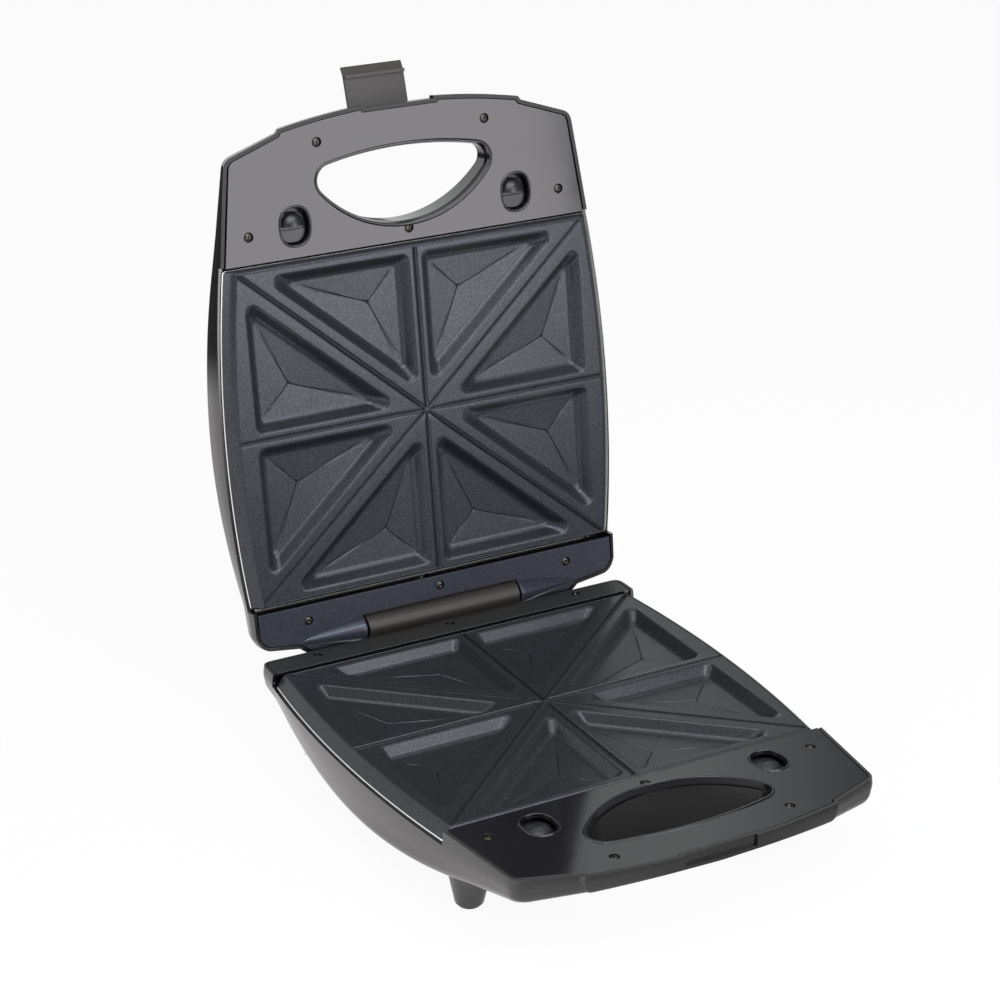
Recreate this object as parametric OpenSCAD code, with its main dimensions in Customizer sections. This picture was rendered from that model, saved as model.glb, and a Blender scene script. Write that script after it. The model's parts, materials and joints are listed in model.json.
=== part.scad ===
// Sandwich toaster with a hinged lid: two cast plates with four pairs of triangular pockets,
// moulded casings that close like a clam, a handle with a finger hole, plate-release catches
// and a latch across the handle. Millimetres, +Z up, handle towards -Y, origin on the table.

/* [Cooking plates] */
// Depth of each plate, from its hinge edge to its handle edge
plate_d = 236; // [226:1:246]
// Width of each plate at its hinge edge
plate_rear_w = 276; // [268:1:284]
// Width of each plate at its handle edge
plate_front_w = 270; // [262:1:276]
// How far each side swells past the straight line between its ends
plate_swell = 8; // [5:0.5:10]
// Thickness of the casting
plate_t = 3; // [2.5:0.5:4]
// Depth of the skirt round the plate
skirt_d = 8; // [7:0.5:9]
// How far the skirt flares out at each side
skirt_flare = 5; // [3:0.5:6]
// Gap between the plates' faces when the toaster is shut
plate_gap = 2.3; // [2.2:0.1:3]

/* [Sandwich pockets] */
// Depth of a pocket where its walls meet the floor
pocket_wall_d = 7.2; // [6:0.2:8]
// Depth of a pocket at its deepest point
pocket_d = 9.8; // [9:0.2:11]
// How far the sloping walls run in from the rim
pocket_wall_run = 8; // [6:0.5:9]
// Radius of a pocket's corners at the rim
pocket_corner_r = 4.5; // [3:0.5:6]
// From the plate's centre lines to a pocket
pocket_centre_margin = 5.8; // [5:0.2:7]
// From the plate's front and rear edges to a pocket
pocket_edge_margin = 7.5; // [6:0.5:9]
// From the diagonal ribs to a pocket
pocket_rib_margin = 9.4; // [8:0.2:10]
// From the plate's side edges to a pocket
pocket_side_margin = 8.5; // [7:0.5:11]

/* [Sealing ribs] */
// Width of the grooves between the pockets of the lower plate
groove_w = 3; // [2.6:0.2:4]
// Depth of those grooves
groove_d = 1; // [0.6:0.1:1.4]
// Width of the ribs that press into them from the upper plate
rib_w = 2.2; // [1.6:0.2:2.4]
// Height of those ribs
rib_h = 1.2; // [0.8:0.1:1.6]
// Height of the rims round both plates
rim_h = 0.8; // [0.4:0.1:0.9]

/* [Casings] */
// Wall thickness of the mouldings
wall = 2.6; // [2:0.2:3]
// Depth of the lower casing under its lip
base_lip_d = 9; // [8.6:0.2:11]
// Depth of the lower casing at its belly
base_belly_d = 45.5; // [42:0.5:50]
// Depth of the lower casing at its rear wall
base_rear_d = 18; // [17:0.5:22]
// Depth of the upper casing under its lip
lid_lip_d = 11.5; // [11:0.5:13]
// Depth of the upper casing at its belly
lid_belly_d = 41; // [38:0.5:46]
// Depth of the upper casing at its rear edge
lid_rear_d = 15; // [14:0.5:18]
// Radius of the long edges of the casings
edge_r = 11; // [8:0.5:14]
// How far the casing's side stands off the plate's skirt
casing_gap = 1.2; // [0.8:0.1:1.6]

/* [Handle] */
// Length of the handle in front of the plates
handle_len = 95; // [90:1:105]
// Width of the casing at the handle's front corners
handle_front_w = 263; // [250:1:270]
// How far those corners lie behind the front edge
handle_corner_back = 25; // [20:1:30]
// Width of the nose in the middle of the front edge
nose_w = 182; // [160:1:200]
// How far the nose stands proud of the shoulders beside it
nose_step = 2.8; // [2:0.2:4]
// Radius of the curved front edge
front_arc_r = 470; // [420:10:600]
// Thickness of the cover panels
panel_t = 2.5; // [2:0.1:3]
// Height of the lower handle panel above its plate's face
base_panel_up = 0.5; // [0:0.1:1]
// How far the upper handle panel is sunk behind its plate's face
lid_panel_sunk = 6; // [5:0.5:7]
// Radius of the rear arc of the finger hole
hole_rear_r = 83; // [78:1:90]
// Radius of the front arc of the finger hole
hole_front_r = 275; // [240:5:320]
// Length of the finger hole from rear arc to front arc
hole_len = 53.5; // [50:0.5:54]
// From the plate's edge to the finger hole
hole_back = 13.5; // [13:0.5:16]
// Radius of the finger hole's ends
hole_tip_r = 11; // [8:0.5:13]
// Width of the raised bead round the finger hole
bead_w = 2.2; // [1.5:0.1:3]
// Height of the raised bead
bead_h = 0.7; // [0.4:0.1:1]
// Depth of the collar that lines the hole under the panel
collar_d = 5; // [4:0.5:6]
// Thickness of that collar
collar_t = 1; // [0.8:0.1:1]
// How far the casing's tunnel stands in from the collar
tunnel_ledge = 1.2; // [0.8:0.1:1.6]
// How far the lower tunnel's wall stands out under the casing at the rear of the hole
tunnel_lip = 6; // [4:0.5:8]

/* [Hinge] */
// From the plate's hinge edge back to the hinge axis
hinge_back = 29.7; // [29:0.1:32]
// Height of the hinge axis above the lower plate's face
hinge_up = 5.1; // [4.8:0.1:5.6]
// How far the lid stands open
open_angle = 98.5; // [90:0.5:105]
// Radius of the hinge knuckle
knuckle_r = 9.3; // [8.8:0.1:9.6]
// Length of the hinge knuckle
knuckle_len = 121; // [110:1:130]
// Radius of the hinge pins
hinge_pin_r = 3; // [2.5:0.1:3.5]
// Length of each hinge pin
hinge_pin_len = 33; // [28:1:36]
// Gap between the knuckle's ends and the lid's fairings
knuckle_end_gap = 1.4; // [0.8:0.1:2]
// Length of each tapered fairing
fairing_len = 50; // [44:1:52]

/* [Catches] */
// From the centre line to the middle of a catch
catch_x = 85; // [80:1:90]
// From the plate's edge to the middle of a catch's well
catch_back = 23; // [22.5:0.5:24]
// Half width of the well
well_rx = 10.5; // [10:0.1:12]
// Half length of the well
well_ry = 13; // [12.8:0.1:15]
// Radius of the half-dome thumb piece
dome_r = 9.2; // [8:0.1:9.5]
// Travel of a catch
catch_travel = 3.5; // [3.2:0.1:3.8]

/* [Latch] */
// Width of the latch
latch_w = 46; // [40:1:50]
// Thickness of the latch
latch_t = 2.2; // [1.8:0.1:2.6]
// Radius of the latch's pin
latch_pin_r = 1.6; // [1.4:0.1:2]
// From the front edge back to the latch's pin
latch_pin_back = 16; // [15:0.5:17]
// Width of the notch that the latch closes into
notch_w = 52; // [50:1:56]
// Depth of that notch
notch_d = 2.6; // [1.5:0.1:3]
// How far the latch stands open
latch_angle = 100; // [80:1:105]
// Length of the finger tab beyond the latch's hook
tab_len = 6; // [4:0.5:12]

/* [Feet] */
// Height of the lower plate's face above the table
stand_h = 60; // [57:0.5:66]
// Radius of a leg at its foot
leg_r = 9.3; // [8.8:0.1:11]
// Radius of a leg at its top, inside the casing's belly
leg_top_r = 17.8; // [14:0.2:18]
// Radius of the rubber pads
pad_r = 7.5; // [6:0.1:8]
// Thickness of the rubber pads
pad_t = 2.5; // [2:0.1:3]

/* [Heating] */
// Radius of the sheathed heating element
element_r = 3.1; // [2.8:0.1:3.2]
// Spacing of the element's two legs
element_gap = 120; // [100:1:130]
// Thickness of the metal heat trays
tray_t = 0.8; // [0.6:0.1:1]
// Depth of the heat trays below the plates' faces
tray_d = 21; // [20.6:0.1:21.4]

/* [Hidden] */
$fn = 48;

fit = 0.3;          // clearance between mouldings that must go together
slack = 0.06;       // running clearance of a pin in its bore
eps = 0.01;         // overlap that joins two solids of one piece

gloss_black = "#1d1e20";
panel_grey = "#3a3b3f";
coated = "#2e3138";
brown_black = "#2a2722";
steel = "#b9bcc0";

plate_mid_y = -plate_d / 2;
front_y = -(plate_d + handle_len + wall + fit);   // front edge of the casings
base_belly_y = -140;
lid_belly_y = -115;
base_rear_y = hinge_back - 8.1;
lid_rear_y = hinge_back + 9.8;
lid_panel_up = -lid_panel_sunk;
hole_top_y = -plate_d - hole_back;
hole_bottom_y = hole_top_y - hole_len;
catch_y = -plate_d - catch_back;
handle_rear_y = -plate_d - 1.5;
tray_flange = skirt_d + 0.05;                     // the tray's flange lies under the skirt
casing_cut = tray_flange + tray_t;                // and on the casing's cut edge
bay_rear_y = 1.6;                                 // rear end of the bay that the plate lies in
deep = base_belly_d + 15;                         // cutters and posts reach past the casings' floors
wide = plate_rear_w + 130;                        // and past their sides
origin_y = 101.3;                                 // puts the open toaster's box over the origin

screw_r = 1.45;
screw_head_r = 3;
screw_head_h = 1.4;
screw_len = 11;
handle_post_r = 2.6;                              // clears the collar of the finger hole
rear_post_r = 3.6;
handle_screws = [[-119.4, -20.4], [119.4, -20.4], [-64, -77], [64, -77], [0, -9.8]];
base_rear_screws = [[-103.5, 14.8], [0, 14.8], [103.5, 14.8]];
lid_rear_screws = [[-103.5, 15], [0, 11], [103.5, 15]];

// ---------------------------------------------------------------- frames

// Each half is drawn with its plate's face at z = 0, hinge edge at y = 0 and its body below.
module place_base() translate([0, origin_y, stand_h]) children();

module place_lid()
    translate([0, origin_y + hinge_back, stand_h + hinge_up])
    rotate([-open_angle, 0, 0])
    translate([0, -hinge_back, plate_gap - hinge_up])
    mirror([0, 0, 1]) children();

module pair() { children(); mirror([1, 0, 0]) children(); }

// ---------------------------------------------------------------- outlines

// Half width of the plate at y
function plate_half(y) = let (t = -y / plate_d)
    (plate_rear_w * (1 - t) + plate_front_w * t) / 2 + plate_swell * 4 * t * (1 - t);

plate_ys = [for (i = [0:10]) -plate_d * i / 10];
plate_outline = concat([for (y = plate_ys) [plate_half(y), y]],
    [for (i = [10:-1:0]) [-plate_half(plate_ys[i]), plate_ys[i]]]);

module plate_2d(inset = 0) offset(delta = -inset) polygon(plate_outline);

// Point on a corner rounded between a and b, with c as its sharp corner
function bend(a, c, b, t) = a * (1 - t) * (1 - t) + c * 2 * t * (1 - t) + b * t * t;
function unit(v) = v / norm(v);

// Half outline of the handle end as [x, y] stations, from the nose back to the plates
function arc_y(x) = front_y + front_arc_r - sqrt(front_arc_r * front_arc_r - x * x);
nose_pts = [for (k = [0.08, 0.3, 0.52, 0.72, 0.88, 1]) [k * nose_w / 2, arc_y(k * nose_w / 2)]];
shoulder = [nose_w / 2 + 2, arc_y(nose_w / 2) + nose_step];
corner = [handle_front_w / 2, front_y + handle_corner_back];
handle_rear = [plate_half(-plate_d) + skirt_flare + casing_gap, -plate_d];
corner_in = corner + 10 * unit(shoulder - corner);
corner_out = corner + 10 * unit(handle_rear - corner);
handle_pts = concat(nose_pts, [shoulder],
    [for (t = [0, 0.33, 0.67, 1]) bend(corner_in, corner, corner_out, t)],
    [(corner_out + handle_rear) / 2]);
side_pts = [for (i = [10:-1:0]) [plate_half(plate_ys[i]) + skirt_flare + casing_gap, plate_ys[i]]];
side_x = side_pts[10][0];

base_rear_pts = concat([[side_x - 0.2, base_rear_y - 7]],
    [for (t = [0.4, 0.75, 1])
        bend([side_x - 0.2, base_rear_y - 7], [side_x - 0.4, base_rear_y], [side_x - 7, base_rear_y], t)]);
lid_ear_x = knuckle_len / 2 + knuckle_end_gap + fairing_len;
lid_rear_pts = concat([[side_x - 0.4, lid_rear_y - 20]],
    [for (t = [0.35, 0.7, 1])
        bend([side_x - 0.4, lid_rear_y - 20], [side_x - 3, lid_rear_y - 9.5],
            [side_x - 12, lid_rear_y - 8.8], t)],
    [[lid_ear_x, lid_rear_y - 6], [lid_ear_x - 5, lid_rear_y - 2], [lid_ear_x - 8, lid_rear_y]]);

base_stations = concat(handle_pts, side_pts, base_rear_pts);
lid_stations = concat(handle_pts, side_pts, lid_rear_pts);

function mirror_outline(p) = concat(p, [for (i = [len(p) - 1:-1:0]) [-p[i][0], p[i][1]]]);
module casing_2d(stations, inset = 0) offset(delta = -inset) polygon(mirror_outline(stations));

// Stations moved in by d, with mitred corners like those of offset()
function left_of(a, b) = let (v = unit(b - a)) [-v[1], v[0]];
function inward(p, d) = [for (i = [0:len(p) - 1])
    let (m = i == 0 ? [0, 1] : left_of(p[i - 1], p[i]),
        n = i == len(p) - 1 ? [0, -1] : left_of(p[i], p[i + 1]))
    p[i] + d * (m + n) / (1 + m * n)];

// ---------------------------------------------------------------- casing loft

// Depth of a casing at y: it swells from the lip to the belly and rises again to the rear
function casing_depth(y, lip, belly, rear, belly_y, rear_y) = y < belly_y
    ? lip + (belly - lip) * sin(90 * max(0, y - front_y) / (belly_y - front_y))
    : rear + (belly - rear) * sin(90 * max(0, rear_y - y) / (rear_y - belly_y));
function base_depth(y) =
    casing_depth(y, base_lip_d, base_belly_d, base_rear_d, base_belly_y, base_rear_y);
function lid_depth(y) =
    casing_depth(y, lid_lip_d, lid_belly_d, lid_rear_d, lid_belly_y, lid_rear_y);

// One cross-section at y: side wall, rounded long edge and crowned underside
function half_section(x, y, d, top, r) = concat([[x, y, top], [x + 0.9, y, -d * 0.4]],
    [for (a = [0:18:90]) [x - r + r * cos(a), y, -d + r - r * sin(a)]],
    [[x * 0.5 - r * 0.5, y, -d - 0.25]]);
function full_section(x, y, d, top, r) = let (h = half_section(x, y, d, top, r))
    concat(h, [for (i = [len(h) - 1:-1:0]) [-h[i][0], y, h[i][2]]]);

// Solid through a row of cross-sections with equal numbers of points
module loft(rings) {
    m = len(rings[0]);
    n = len(rings);
    points = [for (r = rings) for (p = r) p];
    sides = [for (i = [0:n - 2]) for (j = [0:m - 1]) let (k = (j + 1) % m, a = i * m, b = a + m)
        each [[a + j, b + j, b + k], [a + j, b + k, a + k]]];
    caps = [[for (j = [0:m - 1]) j], [for (j = [m - 1:-1:0]) (n - 1) * m + j]];
    polyhedron(points, concat(sides, caps), convexity = 6);
}

module base_hull() loft([for (p = base_stations) let (d = base_depth(p[1]))
    full_section(p[0], p[1], d, base_panel_up, min(edge_r, 0.42 * d, 0.8 * p[0]))]);
module base_cavity() loft([for (p = inward(base_stations, wall)) let (d = base_depth(p[1]) - wall)
    full_section(p[0], p[1], d, base_panel_up + 2, min(edge_r - wall, 0.4 * d, 0.8 * p[0]))]);
module lid_hull() loft([for (p = lid_stations) let (d = lid_depth(p[1]))
    full_section(p[0], p[1], d, 0, min(edge_r, 0.42 * d, 0.8 * p[0]))]);
module lid_cavity() loft([for (p = inward(lid_stations, wall)) let (d = lid_depth(p[1]) - wall)
    full_section(p[0], p[1], d, 2, min(edge_r - wall, 0.4 * d, 0.8 * p[0]))]);

// ---------------------------------------------------------------- plates

function line_through(a, b) = let (n = unit([a[1] - b[1], b[0] - a[0]])) [n[0], n[1], n * a];
function meet(l, m) = let (q = l[0] * m[1] - l[1] * m[0])
    [(l[2] * m[1] - l[1] * m[2]) / q, (l[0] * m[2] - l[2] * m[0]) / q];
// Triangle with each side moved in by its own margin; its corners run anticlockwise
function inset_triangle(p, margins) = let (l = [for (i = [0:2])
        let (e = line_through(p[i], p[(i + 1) % 3])) [e[0], e[1], e[2] + margins[i]]])
    [meet(l[2], l[0]), meet(l[0], l[1]), meet(l[1], l[2])];
function in_centre(p) = let (a = norm(p[1] - p[2]), b = norm(p[2] - p[0]), c = norm(p[0] - p[1]))
    (a * p[0] + b * p[1] + c * p[2]) / (a + b + c);
function in_radius(p) = let (e = line_through(p[0], p[1]), c = in_centre(p)) abs([e[0], e[1]] * c - e[2]);

// Ring of a triangle shrunk by d about its in-centre, with corners of radius r
function pocket_ring(p, d, r, z, steps) =
    let (c = in_centre(p), k = (in_radius(p) - d - r) / in_radius(p))
    [for (i = [0:2]) let (v = c + (p[i] - c) * k,
            from = atan2(p[i][1] - p[(i + 2) % 3][1], p[i][0] - p[(i + 2) % 3][0]) - 90,
            to = atan2(p[(i + 1) % 3][1] - p[i][1], p[(i + 1) % 3][0] - p[i][0]) - 90,
            turn = (to - from + 720) % 360)
        for (s = [0:steps]) [v[0] + r * cos(from + turn * s / steps),
            v[1] + r * sin(from + turn * s / steps), z]];

// Closed solid from rings stacked downwards, ending in a point
module stack(rings, tip) {
    m = len(rings[0]);
    n = len(rings);
    points = concat([for (r = rings) for (q = r) q], [tip]);
    sides = [for (i = [0:n - 2]) for (j = [0:m - 1]) let (k = (j + 1) % m, a = i * m, b = a + m)
        each [[a + j, a + k, b + k], [a + j, b + k, b + j]]];
    floor_fan = [for (j = [0:m - 1]) [(n - 1) * m + j, (n - 1) * m + (j + 1) % m, n * m]];
    polyhedron(points, concat([[for (j = [m - 1:-1:0]) j]], sides, floor_fan), convexity = 4);
}

module pocket(p) {
    c = in_centre(p);
    r = pocket_corner_r;
    stack([pocket_ring(p, -1.6, r + 1, 1, 4), pocket_ring(p, -1, r + 0.6, 0, 4),
        pocket_ring(p, 0.4, r, -1, 4), pocket_ring(p, pocket_wall_run - 2.5, r * 0.7, 1.2 - pocket_wall_d, 4),
        pocket_ring(p, pocket_wall_run, r * 0.5, -pocket_wall_d, 4)], [c[0], c[1], -pocket_d]);
}

module pocket_pan(p) {
    c = in_centre(p);
    drop = plate_t - 0.4;
    stack([pocket_ring(p, -3.2, pocket_corner_r + 2.5, -plate_t + 0.5, 2),
        pocket_ring(p, pocket_wall_run - 2.6, pocket_corner_r, -pocket_wall_d - drop, 2)],
        [c[0], c[1], -pocket_d - drop]);
}

quad_w = min(plate_rear_w, plate_front_w) / 2 + 2;
// The four pocket triangles on one side of the plate
inner_tri = inset_triangle([[0, 0], [0, plate_mid_y], [quad_w, 0]],
    [pocket_centre_margin, pocket_rib_margin, pocket_edge_margin]);
outer_tri = inset_triangle([[quad_w, plate_mid_y], [quad_w, 0], [0, plate_mid_y]],
    [pocket_side_margin, pocket_rib_margin, pocket_centre_margin]);

module each_pocket() {
    for (i = [0, 1]) for (j = [0, 1])
        translate([0, j * 2 * plate_mid_y, 0]) mirror([0, j, 0]) mirror([i, 0, 0]) children();
}

// Bar of trapezoid section from a to b, h high, or -h deep
module bar(a, b, w, h) translate([a[0], a[1], 0]) rotate([0, 0, atan2(b[1] - a[1], b[0] - a[0])])
    rotate([90, 0, 90]) linear_extrude(norm(b - a))
    polygon([[-w / 2, -sign(h) * eps], [w / 2, -sign(h) * eps], [w / 4, h], [-w / 4, h]]);

// Bars along the centre lines and the diagonals
module star(w, h) {
    inset = 3;
    x_mid = plate_half(plate_mid_y) - inset;
    bar([0, -inset], [0, -plate_d + inset], w, h);
    bar([-x_mid, plate_mid_y], [x_mid, plate_mid_y], w, h);
    for (s = [-1, 1]) for (y = [-inset, -plate_d + inset])
        bar([0, plate_mid_y], [s * (plate_half(y) - inset), y], w, h);
}

module rim() linear_extrude(rim_h) difference() { plate_2d(0.8); plate_2d(2.6); }

// Cast plate; panel_up is the level of the handle panel whose catches hold it
module plate(panel_up) {
    flare = (plate_half(plate_mid_y) + skirt_flare) / plate_half(plate_mid_y);
    hook_top = panel_up - 10.9;
    difference() {
        union() {
            mirror([0, 0, 1]) linear_extrude(skirt_d, scale = [flare, 1]) plate_2d();
            for (t = [inner_tri, outer_tri]) each_pocket() pocket_pan(t);
            translate([0, plate_mid_y, -pocket_d - plate_t]) cylinder(r = 9, h = pocket_d);
            pair() translate([catch_x - 9, -plate_d, hook_top - 2.2]) {
                cube([18, 2.5, -hook_top]);
                translate([0, -5.2, 0]) cube([18, 6, 2.2]);
            }
            rim();
        }
        difference() {
            translate([0, 0, -skirt_d - eps]) linear_extrude(skirt_d - plate_t + eps) plate_2d(2.5);
            for (t = [inner_tri, outer_tri]) each_pocket() pocket_pan(t);
            translate([0, plate_mid_y, -pocket_d - plate_t]) cylinder(r = 9, h = pocket_d);
            pair() translate([catch_x - 9, -plate_d, -skirt_d - 1]) cube([18, 2.5, skirt_d]);
        }
        for (t = [inner_tri, outer_tri]) each_pocket() pocket(t);
    }
}

// ---------------------------------------------------------------- heating

module heat_tray() {
    outer = skirt_flare + 0.3;
    difference() {
        union() {
            translate([0, 0, -tray_flange - tray_t]) linear_extrude(tray_t)
                scale([1 + outer / plate_half(plate_mid_y), 1]) plate_2d(0.6);
            translate([0, 0, -tray_d]) linear_extrude(tray_d - tray_flange - tray_t + eps)
                plate_2d(7 - tray_t);
        }
        translate([0, 0, -tray_d + tray_t]) linear_extrude(tray_d) plate_2d(7);
        pair() translate([catch_x - 9.5, -plate_d - 1, -tray_flange - 2]) cube([19, 4, 4]);
    }
    // saddles under the element
    for (x = [-90, 0, 50]) for (s = [-1, 1])
        translate([x - 4, plate_mid_y + s * element_gap / 2 - 4, -tray_d + tray_t - eps])
            cube([8, 8, element_z() - element_r + tray_d - tray_t - 0.1]);
}
function element_z() = -(pocket_d + plate_t - 0.4 + tray_d - tray_t) / 2;

module heater() {
    bend_x = 60;
    start_x = -112;
    translate([0, plate_mid_y, element_z()]) {
        for (s = [-1, 1]) translate([start_x, s * element_gap / 2, 0]) rotate([0, 90, 0]) {
            cylinder(r = element_r, h = bend_x - start_x);
            translate([0, 0, -9]) cylinder(r = 1.4, h = 9.5);
        }
        translate([bend_x, 0, 0]) rotate([0, 0, -90])
            rotate_extrude(angle = 180) translate([element_gap / 2, 0]) circle(r = element_r);
    }
}

// ---------------------------------------------------------------- handle pieces

// Lens-shaped finger hole between two arcs, with rounded ends
module hole_2d(grow = 0) offset(r = hole_tip_r + grow) offset(delta = -hole_tip_r) intersection() {
    translate([0, hole_top_y - hole_rear_r]) circle(r = hole_rear_r, $fn = 96);
    translate([0, hole_bottom_y + hole_front_r]) circle(r = hole_front_r, $fn = 180);
}

module oval_2d(grow = 0) polygon([for (a = [0:10:350])
    [(well_rx + grow) * cos(a), (well_ry + grow) * sin(a)]]);

slide_z = -8.5;      // top of a catch's slide below the panel's face
slide_t = 2;
dome_sunk = 1.2;     // top of a thumb piece below the panel's face
spring_gap = 11.4;
module catch_spot() for (s = [-1, 1]) translate([s * catch_x, catch_y, 0]) children();

// Two rails, their ledges and the spring's stop, moulded under the handle panel
module catch_guides() {
    rail_z = slide_z - slide_t - fit;
    for (s = [-1, 1]) translate([s * 13 - 1, -17, rail_z - 1.8]) cube([2, 29, -rail_z + 1.8 - panel_t + eps]);
    for (s = [-1, 1]) translate([s * 10.8 - 1.7, -17, rail_z - 1.8]) cube([3.4, 29, 1.8]);
    translate([-6, -well_ry - spring_gap - 2, rail_z - 1.8]) cube([12, 2, -rail_z + 1.8 - panel_t + eps]);
    difference() {
        translate([0, 0, slide_z + fit]) linear_extrude(-slide_z - fit - panel_t + eps)
            difference() { oval_2d(1.3); oval_2d(0); }
        translate([-20, -40, slide_z]) cube([40, 40 - 1.5, 10]);
    }
}

// Handle panel with its face at z = up
module handle_panel(stations, up) translate([0, 0, up]) difference() {
    union() {
        translate([0, 0, -panel_t]) linear_extrude(panel_t) difference() {
            casing_2d(stations, wall + fit);
            translate([-wide / 2, handle_rear_y]) square(wide);
            translate([-notch_w / 2 - wall - fit, front_y])
                square([notch_w + 2 * (wall + fit), notch_d + wall + fit]);
            catch_spot() oval_2d();
        }
        translate([0, 0, -eps]) linear_extrude(bead_h + eps) hole_2d(bead_w);
        translate([0, 0, -collar_d]) linear_extrude(collar_d - panel_t + eps) hole_2d(collar_t);
        catch_spot() catch_guides();
    }
    translate([0, 0, -deep]) linear_extrude(2 * deep) hole_2d();
    for (p = handle_screws) translate([p[0], p[1] - plate_d, 0]) screw_hole();
}

module screw_hole() {
    translate([0, 0, -screw_head_h - 0.3]) cylinder(r = screw_head_r + 0.3, h = 4);
    translate([0, 0, -10]) cylinder(r = screw_r + 0.25, h = 12);
}

module screw() {
    translate([0, 0, -screw_head_h - 0.3])
        cylinder(r1 = screw_head_r * 0.9, r2 = screw_head_r, h = screw_head_h);
    translate([0, 0, -screw_len]) cylinder(r = screw_r, h = screw_len - screw_head_h);
}

module handle_screw_set(up) for (p = handle_screws) translate([p[0], p[1] - plate_d, up]) screw();

// Post that a screw bites into, standing on the casing's floor
module screw_post(p, r, up) translate([p[0], p[1], -deep]) cylinder(r = r, h = deep + up - panel_t);
module handle_screw_posts(up) for (p = handle_screws) screw_post([p[0], p[1] - plate_d], handle_post_r, up);
module screw_pilot(p, up) translate([p[0], p[1], up - screw_len - 1])
    cylinder(r = screw_r + 0.05, h = screw_len);

// Slide with its tongue, spring stop and half-dome thumb piece
module catch(up) translate([0, 0, up]) {
    translate([-11.6, -well_ry, slide_z - slide_t]) cube([23.2, 2 * well_ry - 1, slide_t]);
    translate([-7, 0, slide_z - slide_t]) cube([14, catch_back - 2.2, slide_t]);
    translate([-5, -well_ry, slide_z - slide_t - 1.6]) cube([10, 1.6, slide_t + 5]);
    translate([0, 0, -dome_sunk - dome_r]) difference() {
        sphere(r = dome_r);
        translate([-20, 0, -20]) cube([40, 40, 40]);
        translate([-20, -20, -40]) cube([40, 40, 40 + dome_r + dome_sunk + slide_z - slide_t + eps]);
    }
}

// Coil spring along -y between the catch and its stop
module catch_spring(up) {
    turns = 5;
    per_turn = 10;
    sides = 5;
    wire = 0.45;
    coil_r = 2.5;
    len_y = spring_gap - 0.6 - 2 * wire;
    n = turns * per_turn;
    rings = [for (i = [0:n]) let (a = 360 * i / per_turn)
        [for (j = [0:sides - 1]) let (b = 360 * j / sides, r = coil_r + wire * cos(b))
            [r * cos(a), -well_ry - 0.3 - wire - len_y * i / n - wire * sin(b),
                up + slide_z - 1 + r * sin(a)]]];
    loft(rings);
}

// ---------------------------------------------------------------- lower half

leg_x = plate_front_w / 2 - 16;
leg_xs = [-leg_x, leg_x];
leg_ys = [4 - plate_d, -14];
module at_feet() for (x = leg_xs) for (y = leg_ys) translate([x, y, -stand_h]) children();

// Wall behind the latch's notch
module notch_wall(up) translate([-notch_w / 2 - wall, front_y, -deep])
    cube([notch_w + 2 * wall, notch_d + wall, deep + up]);

// Four posts that carry a heat tray
tray_post_x = plate_rear_w / 2 - 48;
tray_post_in = 40;
module tray_posts() for (x = [-tray_post_x, tray_post_x]) for (y = [-tray_post_in, tray_post_in - plate_d])
    translate([x, y, -deep]) cylinder(r = 5, h = deep - tray_d);

// Wall of the finger hole's tunnel, from the casing's floor up to the panel's collar
module tunnel_wall(up) translate([0, 0, -deep]) linear_extrude(deep + up - collar_d - 0.1)
    hole_2d(wall - tunnel_ledge);
module tunnel_bore() translate([0, 0, -deep]) linear_extrude(2 * deep) hole_2d(-tunnel_ledge);

// Rim of the lower tunnel under the casing; its edge slants down towards the rear of the hole
module tunnel_rim() {
    front_d = base_depth(hole_bottom_y) + 2;
    rear_d = base_depth(hole_top_y) + tunnel_lip;
    slope = atan((rear_d - front_d) / hole_len);
    difference() {
        translate([0, 0, -rear_d - 5]) linear_extrude(rear_d + 5 - base_lip_d)
            hole_2d(wall - tunnel_ledge - 0.2);
        translate([-wide / 2, hole_bottom_y, -front_d]) rotate([-slope, 0, 0])
            translate([0, -wide / 2, -deep]) cube([wide, wide, deep]);
    }
}

// Bay that the plate lies in: the sides are lower there, where the tray's flange lies on them
module plate_bay() translate([-wide / 2, handle_rear_y - 1, -casing_cut])
    cube([wide, bay_rear_y + 1 - handle_rear_y, deep]);

module base_posts() {
    notch_wall(base_panel_up);
    handle_screw_posts(base_panel_up);
    for (p = base_rear_screws) screw_post(p, rear_post_r, base_panel_up);
    tray_posts();
    translate([terminal_at[0] + 15, terminal_at[1] + 6, -deep]) cylinder(r = 4, h = deep + terminal_at[2]);
    tunnel_wall(base_panel_up);
}

module base_shell() color(gloss_black) place_base() difference() {
    union() { base_hull(); tunnel_rim(); }
    difference() { base_cavity(); base_posts(); }
    plate_bay();
    tunnel_bore();
    // notch for the latch, open to the front and above its lip
    translate([-notch_w / 2, front_y - 5, -base_lip_d + 2.2]) cube([notch_w, 5 + notch_d, 20]);
    for (p = handle_screws) screw_pilot([p[0], p[1] - plate_d], base_panel_up);
    for (p = base_rear_screws) screw_pilot(p, base_panel_up);
    translate([cord_x, base_rear_y - wall - 1, cord_z]) rotate([-90, 0, 0])
        cylinder(r = cord_body_r + 0.1, h = wall + 2);
}

module feet() color(gloss_black) place_base() difference() {
    at_feet() translate([0, 0, 1.5]) cylinder(r1 = leg_r, r2 = leg_top_r, h = stand_h - base_rear_d);
    base_hull();
    at_feet() cylinder(r = pad_r + 0.1, h = pad_t);
}

module base_handle_panel() color(panel_grey) place_base() handle_panel(base_stations, base_panel_up);

module base_rear_cover() color(gloss_black) place_base() difference() {
    translate([0, 0, base_panel_up - panel_t]) linear_extrude(panel_t) difference() {
        casing_2d(base_stations, wall + fit);
        translate([-wide / 2, bay_rear_y + 0.6 - wide]) square(wide);
    }
    for (p = base_rear_screws) translate([p[0], p[1], base_panel_up]) screw_hole();
}

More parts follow.
